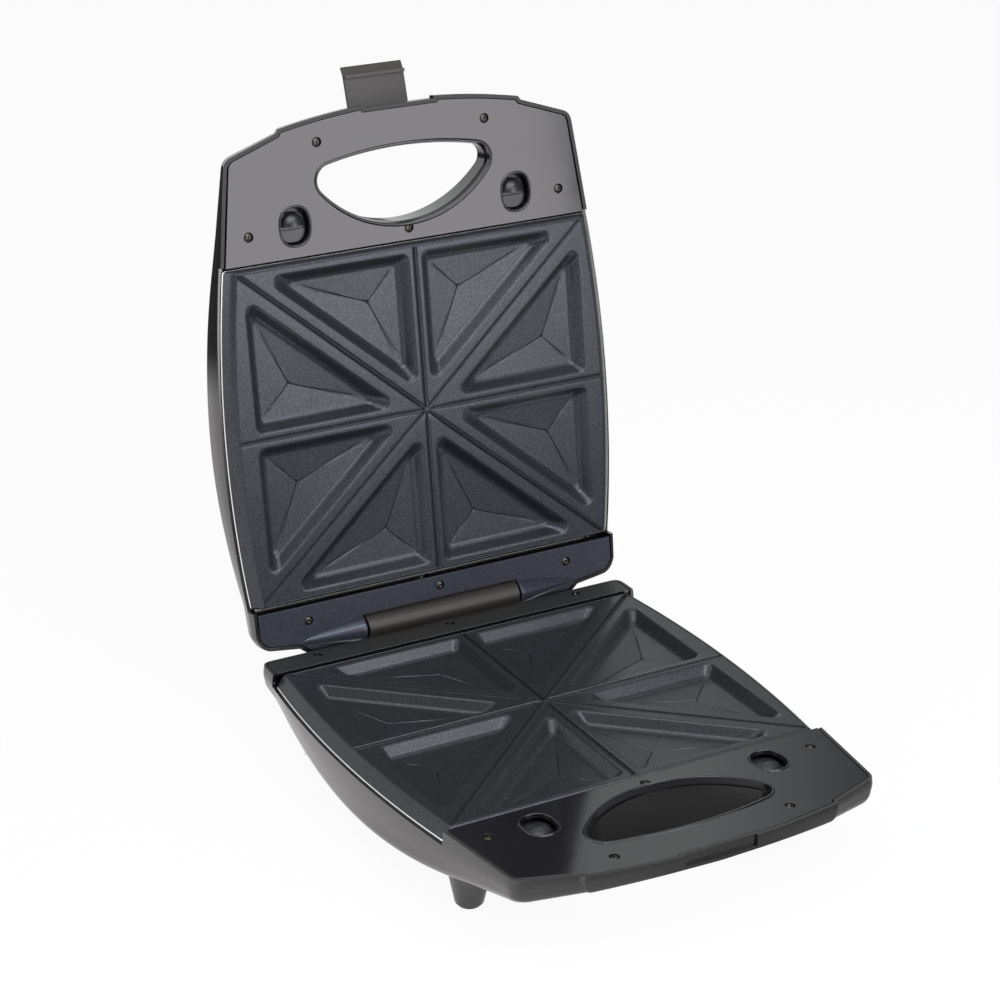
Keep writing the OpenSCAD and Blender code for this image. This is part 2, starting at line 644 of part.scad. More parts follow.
module hinge_knuckle() color(brown_black) place_base() difference() {
    union() {
        translate([-knuckle_len / 2, hinge_back, hinge_up]) rotate([0, 90, 0])
            cylinder(r = knuckle_r, h = knuckle_len);
        translate([-knuckle_len / 2, base_rear_y, -base_rear_d + 1.5])
            cube([knuckle_len, hinge_back + knuckle_r - base_rear_y, base_rear_d - 1.5 + hinge_up]);
    }
    pair() translate([knuckle_len / 2 + eps, hinge_back, hinge_up]) rotate([0, -90, 0])
        cylinder(r = hinge_pin_r + slack, h = hinge_pin_len / 2 + 1);
}

module base_plate() color(coated) place_base() difference() {
    plate(base_panel_up);
    star(groove_w, -groove_d);
}
module base_heat_tray() color(steel) place_base() heat_tray();
module base_heater() color("#8f8a84") place_base() heater();

module thermostat() color("#d8d2c4") place_base() translate([0, plate_mid_y, -tray_d + tray_t + 0.1]) {
    cylinder(r = 11, h = 1);
    cylinder(r = 8, h = tray_d - tray_t - pocket_d - plate_t - 0.3);
}

module thermal_fuse() color(steel) place_base()
    translate([-60, plate_mid_y, -tray_d + tray_t + 2.15]) rotate([0, 90, 0]) {
    cylinder(r = 2.1, h = 11);
    for (z = [-8, 11 - eps]) translate([0, 0, z]) cylinder(r = 0.6, h = 8 + eps);
}

terminal_at = [25, 3, -13.5];
module terminal_block() color("#d9d4c7") place_base() translate(terminal_at) difference() {
    cube([30, 12, 9.5]);
    for (x = [5, 15, 25]) {
        translate([x, 6, 4.5]) cylinder(r = 2, h = 10);
        translate([x, -1, 4.5]) rotate([-90, 0, 0]) cylinder(r = 1.5, h = 14);
    }
}

cord_x = 72;
cord_z = -9.5;
cord_body_r = 5;
cord_bore_r = 3.5;
module cord_inlet_bush() color("#161616") place_base()
    translate([cord_x, base_rear_y, cord_z]) rotate([-90, 0, 0]) difference() {
        union() {
            cylinder(r = cord_body_r + 2, h = 1.6);
            translate([0, 0, -wall - 2]) cylinder(r = cord_body_r, h = wall + 2);
            translate([0, 0, -wall - 2]) cylinder(r = cord_body_r + 1.2, h = 1.8);
        }
        translate([0, 0, -20]) cylinder(r = cord_bore_r, h = 40);
    }

module foot_pads() color("#101010") place_base() at_feet() cylinder(r = pad_r, h = pad_t);

module base_panel_screws() color(steel) place_base() handle_screw_set(base_panel_up);
module base_rear_cover_screws() color(steel) place_base()
    for (p = base_rear_screws) translate([p[0], p[1], base_panel_up]) screw();
module base_catch(s) color(gloss_black) place_base() translate([s * catch_x, catch_y, 0]) catch(base_panel_up);
module base_spring(s) color(steel) place_base()
    translate([s * catch_x, catch_y, 0]) catch_spring(base_panel_up);

// ---------------------------------------------------------------- upper half

ear_r = 4.2;                             // radius of the latch's eye and of its ears
lid_hinge_z = plate_gap - hinge_up;      // the hinge axis in the lid's own frame
fairing_tip_r = 2.4;
knuckle_clear = 2;                       // room in the lid round the knuckle
pivot_y = front_y + latch_pin_back;
pivot_z = -(lid_depth(pivot_y) + 5.5);

module knuckle_room(grow = 0, top = 40)
    translate([-knuckle_len / 2 - knuckle_end_gap + 0.1 - grow,
            hinge_back - knuckle_r - knuckle_clear - grow, -deep])
        cube([knuckle_len + 2 * knuckle_end_gap - 0.2 + 2 * grow, deep, deep + top]);

module fairing() pair() translate([knuckle_len / 2 + knuckle_end_gap, hinge_back, lid_hinge_z])
    rotate([0, 90, 0]) cylinder(r1 = knuckle_r - 0.3, r2 = fairing_tip_r, h = fairing_len);
module fairing_room() pair() translate([knuckle_len / 2, hinge_back, lid_hinge_z])
    rotate([0, 90, 0]) cylinder(r1 = knuckle_r + 0.6, r2 = fairing_tip_r + 0.4, h = fairing_len + 3, $fn = 12);

module lid_posts() {
    notch_wall(lid_panel_up);
    handle_screw_posts(lid_panel_up);
    for (p = lid_rear_screws) screw_post(p, rear_post_r, 0);
    tray_posts();
    tunnel_wall(lid_panel_up);
    knuckle_room(wall, -panel_t);
    for (x = lamp_xs) lamp_place(x) cylinder(r = lamp_r + 1.6, h = 8, center = true);
}

// Ears that carry the latch's pin
module latch_ears() pair() translate([latch_w / 2 + 0.5, pivot_y, pivot_z]) rotate([0, 90, 0]) {
    cylinder(r = ear_r, h = 3.6);
    translate([-9, 0.3 - ear_r, 0]) cube([9, 2 * ear_r - 0.6, 3.6]);
}

lamp_r = 4;
lamp_y = -205;
lamp_xs = [-12, 12];
lamp_tilt = atan((lid_depth(lamp_y + 1) - lid_depth(lamp_y - 1)) / 2);
module lamp_place(x) translate([x, lamp_y, -lid_depth(lamp_y) - 0.25]) rotate([lamp_tilt, 0, 0]) children();

module lid_shell() color(gloss_black) place_lid() difference() {
    union() { lid_hull(); latch_ears(); }
    difference() { lid_cavity(); lid_posts(); }
    translate([-wide / 2, handle_rear_y - wide, lid_panel_up]) cube([wide, wide, deep]);
    plate_bay();
    knuckle_room();
    fairing_room();
    tunnel_bore();
    translate([-notch_w / 2, front_y - 5, -deep]) cube([notch_w, 5 + notch_d, 2 * deep]);
    translate([-latch_w / 2 - 5, pivot_y, pivot_z]) rotate([0, 90, 0])
        cylinder(r = latch_pin_r + 0.02, h = latch_w + 10);
    for (p = handle_screws) screw_pilot([p[0], p[1] - plate_d], lid_panel_up);
    for (p = lid_rear_screws) screw_pilot(p, 0);
    for (x = lamp_xs) lamp_place(x) cylinder(r = lamp_r + 0.1, h = 20, center = true);
}

module lid_handle_panel() color("#86808a") place_lid() handle_panel(lid_stations, lid_panel_up);

module lid_hinge_cover() color(coated) place_lid() difference() {
    union() {
        translate([0, 0, -panel_t]) linear_extrude(panel_t) difference() {
            casing_2d(lid_stations, wall + fit);
            translate([-wide / 2, bay_rear_y + 1.9 - wide]) square(wide);
        }
        fairing();
    }
    knuckle_room();
    for (p = lid_rear_screws) translate([p[0], p[1], 0]) screw_hole();
    translate([-knuckle_len / 2 - hinge_pin_len / 2 - 2, hinge_back, lid_hinge_z]) rotate([0, 90, 0])
        cylinder(r = hinge_pin_r + 0.02, h = knuckle_len + hinge_pin_len + 4);
}

module hinge_pins() color(steel) place_lid() pair()
    translate([(knuckle_len + knuckle_end_gap - hinge_pin_len) / 2, hinge_back, lid_hinge_z]) rotate([0, 90, 0])
        cylinder(r = hinge_pin_r, h = hinge_pin_len);

module lid_plate() color(coated) place_lid() {
    plate(lid_panel_up);
    star(rib_w, rib_h);
}
module lid_heat_tray() color(steel) place_lid() heat_tray();
module lid_heater() color("#8f8a84") place_lid() heater();
module lid_panel_screws() color(steel) place_lid() handle_screw_set(lid_panel_up);
module lid_rear_cover_screws() color(steel) place_lid()
    for (p = lid_rear_screws) translate([p[0], p[1], 0]) screw();
module lid_catch(s) color(gloss_black) place_lid() translate([s * catch_x, catch_y, 0]) catch(lid_panel_up);
module lid_spring(s) color(steel) place_lid() translate([s * catch_x, catch_y, 0]) catch_spring(lid_panel_up);

module lamp_lens(x) lamp_place(x) difference() {
    union() {
        translate([0, 0, -1.1]) cylinder(r = lamp_r, h = 4);
        intersection() {
            translate([0, 0, 4.2]) sphere(r = 6.6);
            translate([0, 0, -4]) cylinder(r = lamp_r, h = 4);
        }
    }
    translate([0, 0, 1]) cylinder(r = lamp_r - 1, h = 5);
}
module power_lamp_lens() color("#b3261e") place_lid() lamp_lens(lamp_xs[0]);
module ready_lamp_lens() color("#2c8a3e") place_lid() lamp_lens(lamp_xs[1]);

// ---------------------------------------------------------------- latch

// The shut latch in profile, from its pin: x runs back from the handle's edge, y towards the base
hook_reach = latch_pin_back + 0.6;                     // from the pin forward to the web
hook_drop = -pivot_z + plate_gap + base_lip_d + 1.2;   // from the pin to the hook's face
hook_len = 2.2;
bend_r = 6;
tab_lean = 2;
module latch_profile() {
    front = -hook_reach - latch_t;
    arm_y = 0.2 - ear_r;
    circle(r = ear_r);
    translate([front + bend_r, arm_y]) square([-front - bend_r, latch_t]);
    translate([front + bend_r, arm_y + bend_r]) intersection() {
        difference() { circle(r = bend_r); circle(r = bend_r - latch_t); }
        translate([-bend_r, -bend_r]) square(bend_r + eps);
    }
    translate([front, arm_y + bend_r]) square([latch_t, hook_drop + latch_t - arm_y - bend_r]);
    translate([front, hook_drop]) square([latch_t + hook_len, latch_t]);
    translate([front, hook_drop + latch_t]) polygon([[0, -eps], [latch_t, -eps],
        [latch_t - tab_lean, tab_len], [-tab_lean, tab_len]]);
}

module latch() color(gloss_black) place_lid() translate([0, pivot_y, pivot_z]) rotate([latch_angle, 0, 0])
    difference() {
        translate([-latch_w / 2, 0, 0]) rotate([90, 0, 90]) linear_extrude(latch_w) latch_profile();
        translate([-latch_w, 0, 0]) rotate([0, 90, 0]) cylinder(r = latch_pin_r + slack, h = 2 * latch_w);
    }

module latch_pin() color(steel) place_lid() translate([-latch_w / 2 - 4, pivot_y, pivot_z]) rotate([0, 90, 0])
    cylinder(r = latch_pin_r, h = latch_w + 8);

// ---------------------------------------------------------------- the toaster

base_shell();
base_handle_panel();
base_rear_cover();
hinge_knuckle();
base_plate();
base_heat_tray();
base_heater();
thermostat();
thermal_fuse();
terminal_block();
cord_inlet_bush();
feet();
foot_pads();
base_panel_screws();
base_rear_cover_screws();  // base_rear_screws
base_catch(-1);  // base_catch_left
base_catch(1);  // base_catch_right
base_spring(-1);  // base_spring_left
base_spring(1);  // base_spring_right
lid_shell();
lid_handle_panel();
lid_hinge_cover();
hinge_pins();
lid_plate();
lid_heat_tray();
lid_heater();
lid_panel_screws();
lid_rear_cover_screws();  // lid_rear_screws
lid_catch(-1);  // lid_catch_left
lid_catch(1);  // lid_catch_right
lid_spring(-1);  // lid_spring_left
lid_spring(1);  // lid_spring_right
latch();
latch_pin();
power_lamp_lens();
ready_lamp_lens();
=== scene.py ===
# %% [markdown]
# # A sandwich toaster, dressed in Blender
# The toaster stands open on a table. Its construction comes from a CAD model that is loaded as a
# fixed frame, and this lesson gives each piece the form and finish that a camera sees. Everything
# is drawn in millimetres in each half's own axes, and placed at the end of each step.

# %% Load the frame
import json
import math

import bmesh
import bpy
import numpy as np
from mathutils import Matrix, Vector


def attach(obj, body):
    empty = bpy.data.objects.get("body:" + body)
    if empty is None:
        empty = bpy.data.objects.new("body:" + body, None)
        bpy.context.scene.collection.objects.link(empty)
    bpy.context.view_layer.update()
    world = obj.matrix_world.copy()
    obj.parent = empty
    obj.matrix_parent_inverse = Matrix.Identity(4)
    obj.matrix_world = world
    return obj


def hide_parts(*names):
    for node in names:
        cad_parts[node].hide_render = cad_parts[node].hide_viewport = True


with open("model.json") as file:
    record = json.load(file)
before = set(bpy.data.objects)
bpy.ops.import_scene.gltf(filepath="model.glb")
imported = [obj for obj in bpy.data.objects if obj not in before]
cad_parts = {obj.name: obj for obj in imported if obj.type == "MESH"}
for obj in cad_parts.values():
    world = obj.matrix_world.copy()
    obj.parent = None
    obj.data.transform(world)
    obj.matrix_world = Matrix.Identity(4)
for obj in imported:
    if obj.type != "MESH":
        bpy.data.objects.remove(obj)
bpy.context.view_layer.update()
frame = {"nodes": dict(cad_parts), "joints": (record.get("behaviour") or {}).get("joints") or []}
nodes = frame["nodes"]
MM = 0.001


def add_object(name, data):
    """A new object in the scene."""
    made = bpy.data.objects.new(name, data)
    bpy.context.scene.collection.objects.link(made)
    return made


# %% [markdown]
# ## The two halves and their axes
# The lower and upper halves are drawn alike: the cooking plate's face is z = 0, its hinge edge is
# y = 0, the handle lies towards -y and the half's body below z = 0. Two matrices put them in
# place. The upper one mirrors the drawing and swings it open about the hinge, whose place and
# angle are read from the frame, so the drawing always meets the model.

# %% Place the halves
HINGE_BACK = 29.7
HINGE_UP = 5.1
PLATE_GAP = 2.3
lid_joint = next(j for j in frame["joints"] if j["name"] == "lid_hinge")
open_angle = math.radians(lid_joint["range_deg"][1])
hinge_y, hinge_z = (c / MM for c in lid_joint["pos_m"][1:])
to_metres = Matrix.Scale(MM, 4)
base_place = to_metres @ Matrix.Translation((0, hinge_y - HINGE_BACK, hinge_z - HINGE_UP))
lid_place = (to_metres @ Matrix.Translation((0, hinge_y, hinge_z))
             @ Matrix.Rotation(-open_angle, 4, "X")
             @ Matrix.Translation((0, -HINGE_BACK, PLATE_GAP - HINGE_UP))
             @ Matrix.Diagonal((1, 1, -1, 1)))
PLACES = {"base": base_place, "lid": lid_place}
print("hinge at", round(hinge_y, 1), round(hinge_z, 1), "mm, lid open by", lid_joint["range_deg"][1])

# %% [markdown]
# ## Camera
# The toaster is seen from its front left, a little above it. A long lens keeps the plates' edges
# nearly parallel, and a small shift frames the open lid and the handle together.

# %% Set the camera
STAND_H = hinge_z - HINGE_UP
VIEW_AZ, VIEW_EL, VIEW_ROLL = math.radians(-28.796), math.radians(23.505), math.radians(0.153)
VIEW_DIST, AIM_BACK, AIM_UP = 1815.77, -23.0, 106.0
LENS_MM, SHIFT_X, SHIFT_Y = 95.74, 0.0238, 0.0056
camera = add_object("camera", bpy.data.cameras.new("camera"))
bpy.context.scene.camera = camera
aim = Vector((0, hinge_y - HINGE_BACK + AIM_BACK, STAND_H + AIM_UP))
back = Vector((math.cos(VIEW_EL) * math.sin(VIEW_AZ), -math.cos(VIEW_EL) * math.cos(VIEW_AZ),
               math.sin(VIEW_EL)))
camera.location = (aim + back * VIEW_DIST) * MM
camera.rotation_mode = "QUATERNION"
camera.rotation_quaternion = (back.to_track_quat("Z", "Y")
                              @ Matrix.Rotation(VIEW_ROLL, 3, "Z").to_quaternion())
camera.data.lens, camera.data.shift_x, camera.data.shift_y = LENS_MM, SHIFT_X, SHIFT_Y
camera.data.clip_end = 20
bpy.context.scene.view_settings.view_transform = "Standard"
print("camera at", [round(v, 3) for v in camera.location])

# %% [markdown]
# ## Floor and light
# Gloss black has no colour of its own to show. What the eye reads is the room mirrored in it, so
# the room is built with care. Light Path tells the rays apart. The camera sees a white sky, and a
# floor that glows almost white and still takes the toaster's shadow. Mirror rays see a shaded card
# instead, because each gloss face looks at another part of the room: bright beside the toaster and
# behind it, dark in front, underneath and far behind, with a sky that dims towards the front and
# the right. All other rays meet plain paper and a faint sky, so that the white doesn't wash out
# the dark pieces. Four wide soft lamps then light the plates.

# %% Helpers for materials
def linear(hex_colour):
    """sRGB hex to the linear colour that a shader wants."""
    values = [int(hex_colour[i:i + 2], 16) / 255 for i in (1, 3, 5)]
    return [v / 12.92 if v <= 0.04045 else ((v + 0.055) / 1.055) ** 2.4 for v in values] + [1.0]


def add_node(tree, kind, inputs=None, **settings):
    """One node with its settings; an input is a value or another node's output socket."""
    node = tree.nodes.new(kind)
    for key, value in settings.items():
        setattr(node, key, value)
    for key, value in (inputs or {}).items():
        if isinstance(value, bpy.types.NodeSocket):
            tree.links.new(value, node.inputs[key])
        else:
            node.inputs[key].default_value = value
    return node


print("sRGB #808080 is", round(linear("#808080")[0], 3), "in linear light")

# %% Sky
SKY_LIGHT, PAPER_GLOW = 0.3, 0.94
# Each fade is (from, to, first value, last value) along one direction.
SKY_BACK, SKY_SIDE = (-0.5, 0.1, 0.3, 1.0), (0.49, 0.55, 1.0, 0.25)


def maths(tree, operation, first, second=0.5):
    """Result of one sum on numbers or sockets."""
    return add_node(tree, "ShaderNodeMath", {0: first, 1: second}, operation=operation).outputs[0]


def fade(tree, value, start, end, first, last):
    """Value that goes from first to last as the input goes from start to end."""
    return add_node(tree, "ShaderNodeMapRange", {"Value": value, "From Min": start, "From Max": end,
                                                 "To Min": first, "To Max": last}).outputs[0]


def lit(tree, kind, colour, strength):
    """Background or emission of one colour; the strength may be a socket."""
    return add_node(tree, kind, {"Color": (*colour, 1), "Strength": strength})


def seen_by(tree, eyes, mirrors, rest):
    """One shader for camera and glass rays, one for mirror rays and one for all others."""
    path = add_node(tree, "ShaderNodeLightPath")
    mirrored = add_node(tree, "ShaderNodeMixShader", {0: path.outputs["Is Glossy Ray"],
                                                      1: rest.outputs[0], 2: mirrors.outputs[0]})
    looked = maths(tree, "MAXIMUM", path.outputs["Is Camera Ray"], path.outputs["Is Transmission Ray"])
    return add_node(tree, "ShaderNodeMixShader", {0: looked, 1: mirrored.outputs[0], 2: eyes.outputs[0]})


world = bpy.data.worlds.new("studio")
bpy.context.scene.world = world
world.use_nodes = True
sky = world.node_tree
sky.nodes.clear()
sky_way = add_node(sky, "ShaderNodeTexCoord")
sky_axes = add_node(sky, "ShaderNodeSeparateXYZ", {0: sky_way.outputs["Generated"]}).outputs
sky_tone = maths(sky, "MULTIPLY", fade(sky, sky_axes["Y"], *SKY_BACK), fade(sky, sky_axes["X"], *SKY_SIDE))
sky_mix = seen_by(sky, lit(sky, "ShaderNodeBackground", (1, 1, 1), 1.0),
                  lit(sky, "ShaderNodeBackground", (0.97, 1, 0.98), sky_tone),
                  lit(sky, "ShaderNodeBackground", (0.95, 0.97, 1), SKY_LIGHT))
add_node(sky, "ShaderNodeOutputWorld", {"Surface": sky_mix.outputs[0]})
print("sky has", len(sky.nodes), "nodes")

# %% Floor
FLOOR_R, FLOOR_DROP = 4.0, 0.0002
TO_FRONT = (0.446, -0.896, 0)
# The card's tone along TO_FRONT, across, to the back, and round two places under the toaster,
# under its body and under its finger hole, where the card carries a painted shadow.
NEAR, FAR = (0.1, 0.4, 1.0, 0.1), (0.7, 2.2, 0.0, 0.62)
LEFT, BEHIND, FAR_BEHIND = (-0.25, 0.0, 1.0, 0.0), (0.1, 0.45, 1.35, 0.85), (0.82, 1.0, 1.0, 0.08)
UNDER_AT, UNDER = (0, -0.05, 0), (0.1, 0.18, 0.05, 1.0)
HOLE_AT, UNDER_HOLE = (0.04, -0.215, 0), (0.05, 0.1, 0.32, 1.0)

floor_mesh = bpy.data.meshes.new("floor")
floor_mesh.from_pydata([(x * FLOOR_R, y * FLOOR_R, -FLOOR_DROP)
                        for x, y in ((-1, -1), (1, -1), (1, 1), (-1, 1))], [], [(0, 1, 2, 3)])
floor = add_object("floor", floor_mesh)
paper = bpy.data.materials.new("white_paper_sweep")
paper.use_nodes = True
sheet = paper.node_tree
sheet.nodes.clear()
spot = add_node(sheet, "ShaderNodeTexCoord").outputs["Object"]
spot_axes = add_node(sheet, "ShaderNodeSeparateXYZ", {0: spot}).outputs


def from_spot(operation, vector):
    """How far a place on the floor lies along a direction, or from a point."""
    return add_node(sheet, "ShaderNodeVectorMath", {0: spot, 1: vector}, operation=operation).outputs["Value"]


front = from_spot("DOT_PRODUCT", TO_FRONT)
card = maths(sheet, "ADD", fade(sheet, front, *NEAR), fade(sheet, front, *FAR))
card = maths(sheet, "MAXIMUM", card, fade(sheet, spot_axes["X"], *LEFT))
# the last two fades darken the card under the toaster and under its finger hole: painted shadow
for value, steps in ((spot_axes["Y"], BEHIND), (spot_axes["Y"], FAR_BEHIND),
                     (from_spot("DISTANCE", UNDER_AT), UNDER), (from_spot("DISTANCE", HOLE_AT), UNDER_HOLE)):
    card = maths(sheet, "MULTIPLY", card, fade(sheet, value, *steps))
paper_plain = add_node(sheet, "ShaderNodeBsdfDiffuse", {"Color": (0.88, 0.88, 0.88, 1)})
paper_glow = lit(sheet, "ShaderNodeEmission", (1, 1, 1), 1.0)
paper_seen = add_node(sheet, "ShaderNodeMixShader", {0: PAPER_GLOW, 1: paper_plain.outputs[0],
                                                     2: paper_glow.outputs[0]})
paper_mix = seen_by(sheet, paper_seen, lit(sheet, "ShaderNodeEmission", (1, 0.97, 0.97), card), paper_plain)
add_node(sheet, "ShaderNodeOutputMaterial", {"Surface": paper_mix.outputs[0]})
floor_mesh.materials.append(paper)
print("floor is", 2 * FLOOR_R, "m wide")


# %% Lamps
def softbox(name, at, look_at, width, height, radiance, colour=(1, 1, 1)):
    """Rectangular lamp whose face shines with the given radiance, in watts per steradian and m2."""
    lamp = bpy.data.lights.new(name, "AREA")
    lamp.shape = "RECTANGLE"
    lamp.size, lamp.size_y, lamp.energy = width, height, radiance * math.pi * width * height
    lamp.color = colour
    holder = add_object(name, lamp)
    holder.location = at
    holder.rotation_mode = "QUATERNION"
    holder.rotation_quaternion = (Vector(at) - Vector(look_at)).to_track_quat("Z", "Y")


softbox("front_softbox", (0.55, -1.15, 0.39), (0, 0.1, 0.35), 0.6, 0.56, 4.6, (1, 0.97, 0.99))
softbox("top_softbox", (-0.3, -0.35, 1.7), (0, 0, 0.1), 1.3, 1.0, 2.2)
softbox("upper_softbox", (0.1, -1.15, 1.3), (0, 0.1, 0.2), 1.5, 0.8, 5.0, (0.93, 0.96, 1))
softbox("left_softbox", (-1.7, 0.3, 0.8), (0, 0, 0.2), 0.9, 1.2, 2.4)

# %% [markdown]
# ## Finishes
# Each finish starts from the real material. Gloss mouldings are ABS, black all through, and take
# their shine from a polished mould: what shows is a sharp reflection, broken a little by the
# mould's waviness. The plates are cast aluminium sprayed with a PTFE coating that holds mica
# flakes. Grains and bumps are given in millimetres, at the size that the real texture has.

# %% Build one finish
def finish(name, colour, rough, **shader):
    """A Principled material and its tree, ready for texture nodes."""
    material = bpy.data.materials.new(name)
    material.use_nodes = True
    tree = material.node_tree
    tree.nodes.clear()
    body = add_node(tree, "ShaderNodeBsdfPrincipled", {"Base Color": linear(colour), "Roughness": rough})
    for key, value in shader.items():
        body.inputs[key.replace("_", " ")].default_value = value
    add_node(tree, "ShaderNodeOutputMaterial", {"Surface": body.outputs[0]})
    return material, tree, body


def grain(tree, size_mm, detail=3.0, roughness=0.55):
    """Noise whose lumps measure about size_mm."""
    place = add_node(tree, "ShaderNodeTexCoord")
    return add_node(tree, "ShaderNodeTexNoise", {"Vector": place.outputs["Object"],
                    "Scale": 1 / (size_mm * MM * 2), "Detail": detail, "Roughness": roughness})


def bump(tree, body, height, depth_mm):
    """Gives the shader a bump."""
    node = add_node(tree, "ShaderNodeBump", {"Height": height, "Distance": depth_mm * MM, "Strength": 1.0})
    tree.links.new(node.outputs[0], body.inputs["Normal"])


def spread(tree, source, low, high):
    """Maps a 0 to 1 value to low to high."""
    return add_node(tree, "ShaderNodeMapRange", {"Value": source, "To Min": low, "To Max": high}).outputs[0]


def tint(tree, body, mask, first, second):
    """Colours the base between two hex colours by a mask."""
    mix = add_node(tree, "ShaderNodeMix", data_type="RGBA")
    mix.inputs[6].default_value, mix.inputs[7].default_value = linear(first), linear(second)
    tree.links.new(mask, mix.inputs[0])
    tree.links.new(mix.outputs[2], body.inputs["Base Color"])


print("a grain of 1 mm is noise at scale", round(1 / (2 * MM)))

# %% [markdown]
# ### Polished ABS
# The casings and the handle panels come from polished moulds. Real ABS has an IOR near 1.54. The
# mould's slight waves are about 14 mm long and at most 20 microns high, and handling leaves a soft
# haze that changes the gloss from place to place. The casings are lacquered as well, which lifts
# their reflection, so their IOR is 1.7. Trimming the flash leaves their parting edge satin, a line
# half a millimetre wide. It is found by its height along the half's own axis.

# %% Polished ABS
ABS_IOR, LACQUER_IOR = 1.54, 1.7
WAVE_MM, WAVE_H, SMEAR_MM = 14, 0.02, 30
SATIN_LINE = (0.12 * MM, 0.3 * MM, 0.42, 0.0)
CASING_HAZE, PANEL_HAZE = (0.10, 0.2), (0.07, 0.14)


def polished_abs(name, colour, haze, ior=ABS_IOR, edge=None):
    """Gloss black moulding; edge is the direction and the level of a satin parting edge."""
    material, tree, body = finish(name, colour, haze[0], IOR=ior)
    waves = grain(tree, WAVE_MM, detail=1.0)
    bump(tree, body, waves.outputs["Fac"], WAVE_H)
    smear = grain(tree, SMEAR_MM, detail=5.0, roughness=0.6)
    gloss = spread(tree, smear.outputs["Fac"], *haze)
    if edge:
        place = add_node(tree, "ShaderNodeTexCoord").outputs["Object"]
        height = add_node(tree, "ShaderNodeVectorMath", {0: place, 1: edge[0]}, operation="DOT_PRODUCT")
        off = maths(tree, "ABSOLUTE", maths(tree, "SUBTRACT", height.outputs["Value"], edge[1]))
        gloss = maths(tree, "ADD", gloss, fade(tree, off, *SATIN_LINE))
    tree.links.new(gloss, body.inputs["Roughness"])
    return material


def edge_of(half, level):
    """Direction out of a half's open side, and how far along it the level lies."""
    out = (PLACES[half].to_3x3() @ Vector((0, 0, 1))).normalized()
    return tuple(out), (PLACES[half] @ Vector((0, 0, level))).dot(out)


BASE_UP, LID_UP = 0.5, -6.0
casing_abs = polished_abs("lacquered_abs_lower_casing", "#141414", CASING_HAZE, LACQUER_IOR,
                          edge_of("base", BASE_UP))
lid_casing_abs = polished_abs("lacquered_abs_upper_casing", "#141414", CASING_HAZE, LACQUER_IOR,
                              edge_of("lid", LID_UP))
panel_abs = polished_abs("polished_abs_panel", "#17161a", PANEL_HAZE)
print("parting edges at", BASE_UP, "and", LID_UP, "mm from the plates' faces")

# %% [markdown]
# ### Sprayed non-stick coating
# PTFE sprayed over blasted aluminium has a fine orange-peel with lumps of half a millimetre, and
# mica flakes that catch light as a metal does, which is why the coating is half metallic. Flakes
# are 20 to 60 microns across, too fine to show, so they are drawn 0.4 mm across, and two fifths of
# them stand out from the ground. Use polishes some places more than others. Both plates have the
# same coating, but the lower plate's copy is a little darker and less blue: that is painted shade.
# The hinge cover is sheet steel under the same kind of spray, bluer still.

# %% Non-stick coating
PTFE_IOR, MICA_METAL, PTFE_ROUGH = 1.42, 0.5, (0.26, 0.32)
PEEL_MM, PEEL_H, FLAKE_MM, WEAR_MM = 0.5, 0.018, 0.4, 22
FLAKES_FROM = 0.62


def nonstick(name, colour, flake):
    """Sprayed coating of one colour with flakes of another."""
    material, tree, body = finish(name, colour, PTFE_ROUGH[0], IOR=PTFE_IOR, Metallic=MICA_METAL)
    peel = grain(tree, PEEL_MM, detail=2.0)
    bump(tree, body, peel.outputs["Fac"], PEEL_H)
    place = add_node(tree, "ShaderNodeTexCoord")
    specks = add_node(tree, "ShaderNodeTexVoronoi", {"Vector": place.outputs["Object"],
                                                     "Scale": 1 / (FLAKE_MM * MM)}, feature="F1")
    chance = add_node(tree, "ShaderNodeSeparateColor", {"Color": specks.outputs["Color"]})
    tint(tree, body, fade(tree, chance.outputs[0], FLAKES_FROM, 1.0, 0.0, 1.0), colour, flake)
    wear = grain(tree, WEAR_MM, detail=4.0)
    tree.links.new(spread(tree, wear.outputs["Fac"], *PTFE_ROUGH), body.inputs["Roughness"])
    return material


coating = nonstick("ptfe_coated_aluminium", "#33353a", "#4f5259")
# the lower plate's copy of the same coating, a little darker and less blue: painted shade
coating_lower_painted_shade = nonstick("ptfe_coated_aluminium_lower_painted_shade", "#313336", "#4e5155")
sprayed = nonstick("sprayed_steel_cover", "#363943", "#4c505c")
print("coatings:", coating.name, coating_lower_painted_shade.name, sprayed.name)

# %% [markdown]
# ### The small finishes
# Screws are blackened zinc on steel, the trays and each plate's bare edge are bright aluminium,
# and the pins are ground steel. The hinge barrel is glass-filled PBT, the catches are satin ABS,
# the latch is nylon, and the pads and the bush are rubber with a dusty bloom. The lamps' lenses are
# clear polycarbonate, drawn as deep gloss colours. Each has its own grain: (size, height) in mm.

# %% Metals, rubber and the rest
BLOOM_MM = 9


def metal(name, colour, rough, grain_mm, depth_mm):
    """Bare metal whose fine marks change its gloss."""
    material, tree, body = finish(name, colour, rough, Metallic=1.0)
    marks = grain(tree, grain_mm, detail=4.0)
    bump(tree, body, marks.outputs["Fac"], depth_mm)
    tree.links.new(spread(tree, marks.outputs["Fac"], rough * 0.8, rough * 1.25), body.inputs["Roughness"])
    return material


def moulded(name, colour, dust, rough, grain_mm, depth_mm, ior=1.5):
    """Plastic, rubber or ceramic with a skin and a cloudy bloom of a second colour."""
    material, tree, body = finish(name, colour, rough, IOR=ior)
    skin = grain(tree, grain_mm, detail=4.0)
    bump(tree, body, skin.outputs["Fac"], depth_mm)
    bloom = grain(tree, BLOOM_MM, detail=5.0)
    tint(tree, body, spread(tree, bloom.outputs["Fac"], 0.0, 0.7), colour, dust)
    tree.links.new(spread(tree, skin.outputs["Fac"], rough * 0.85, rough * 1.15), body.inputs["Roughness"])
    return material


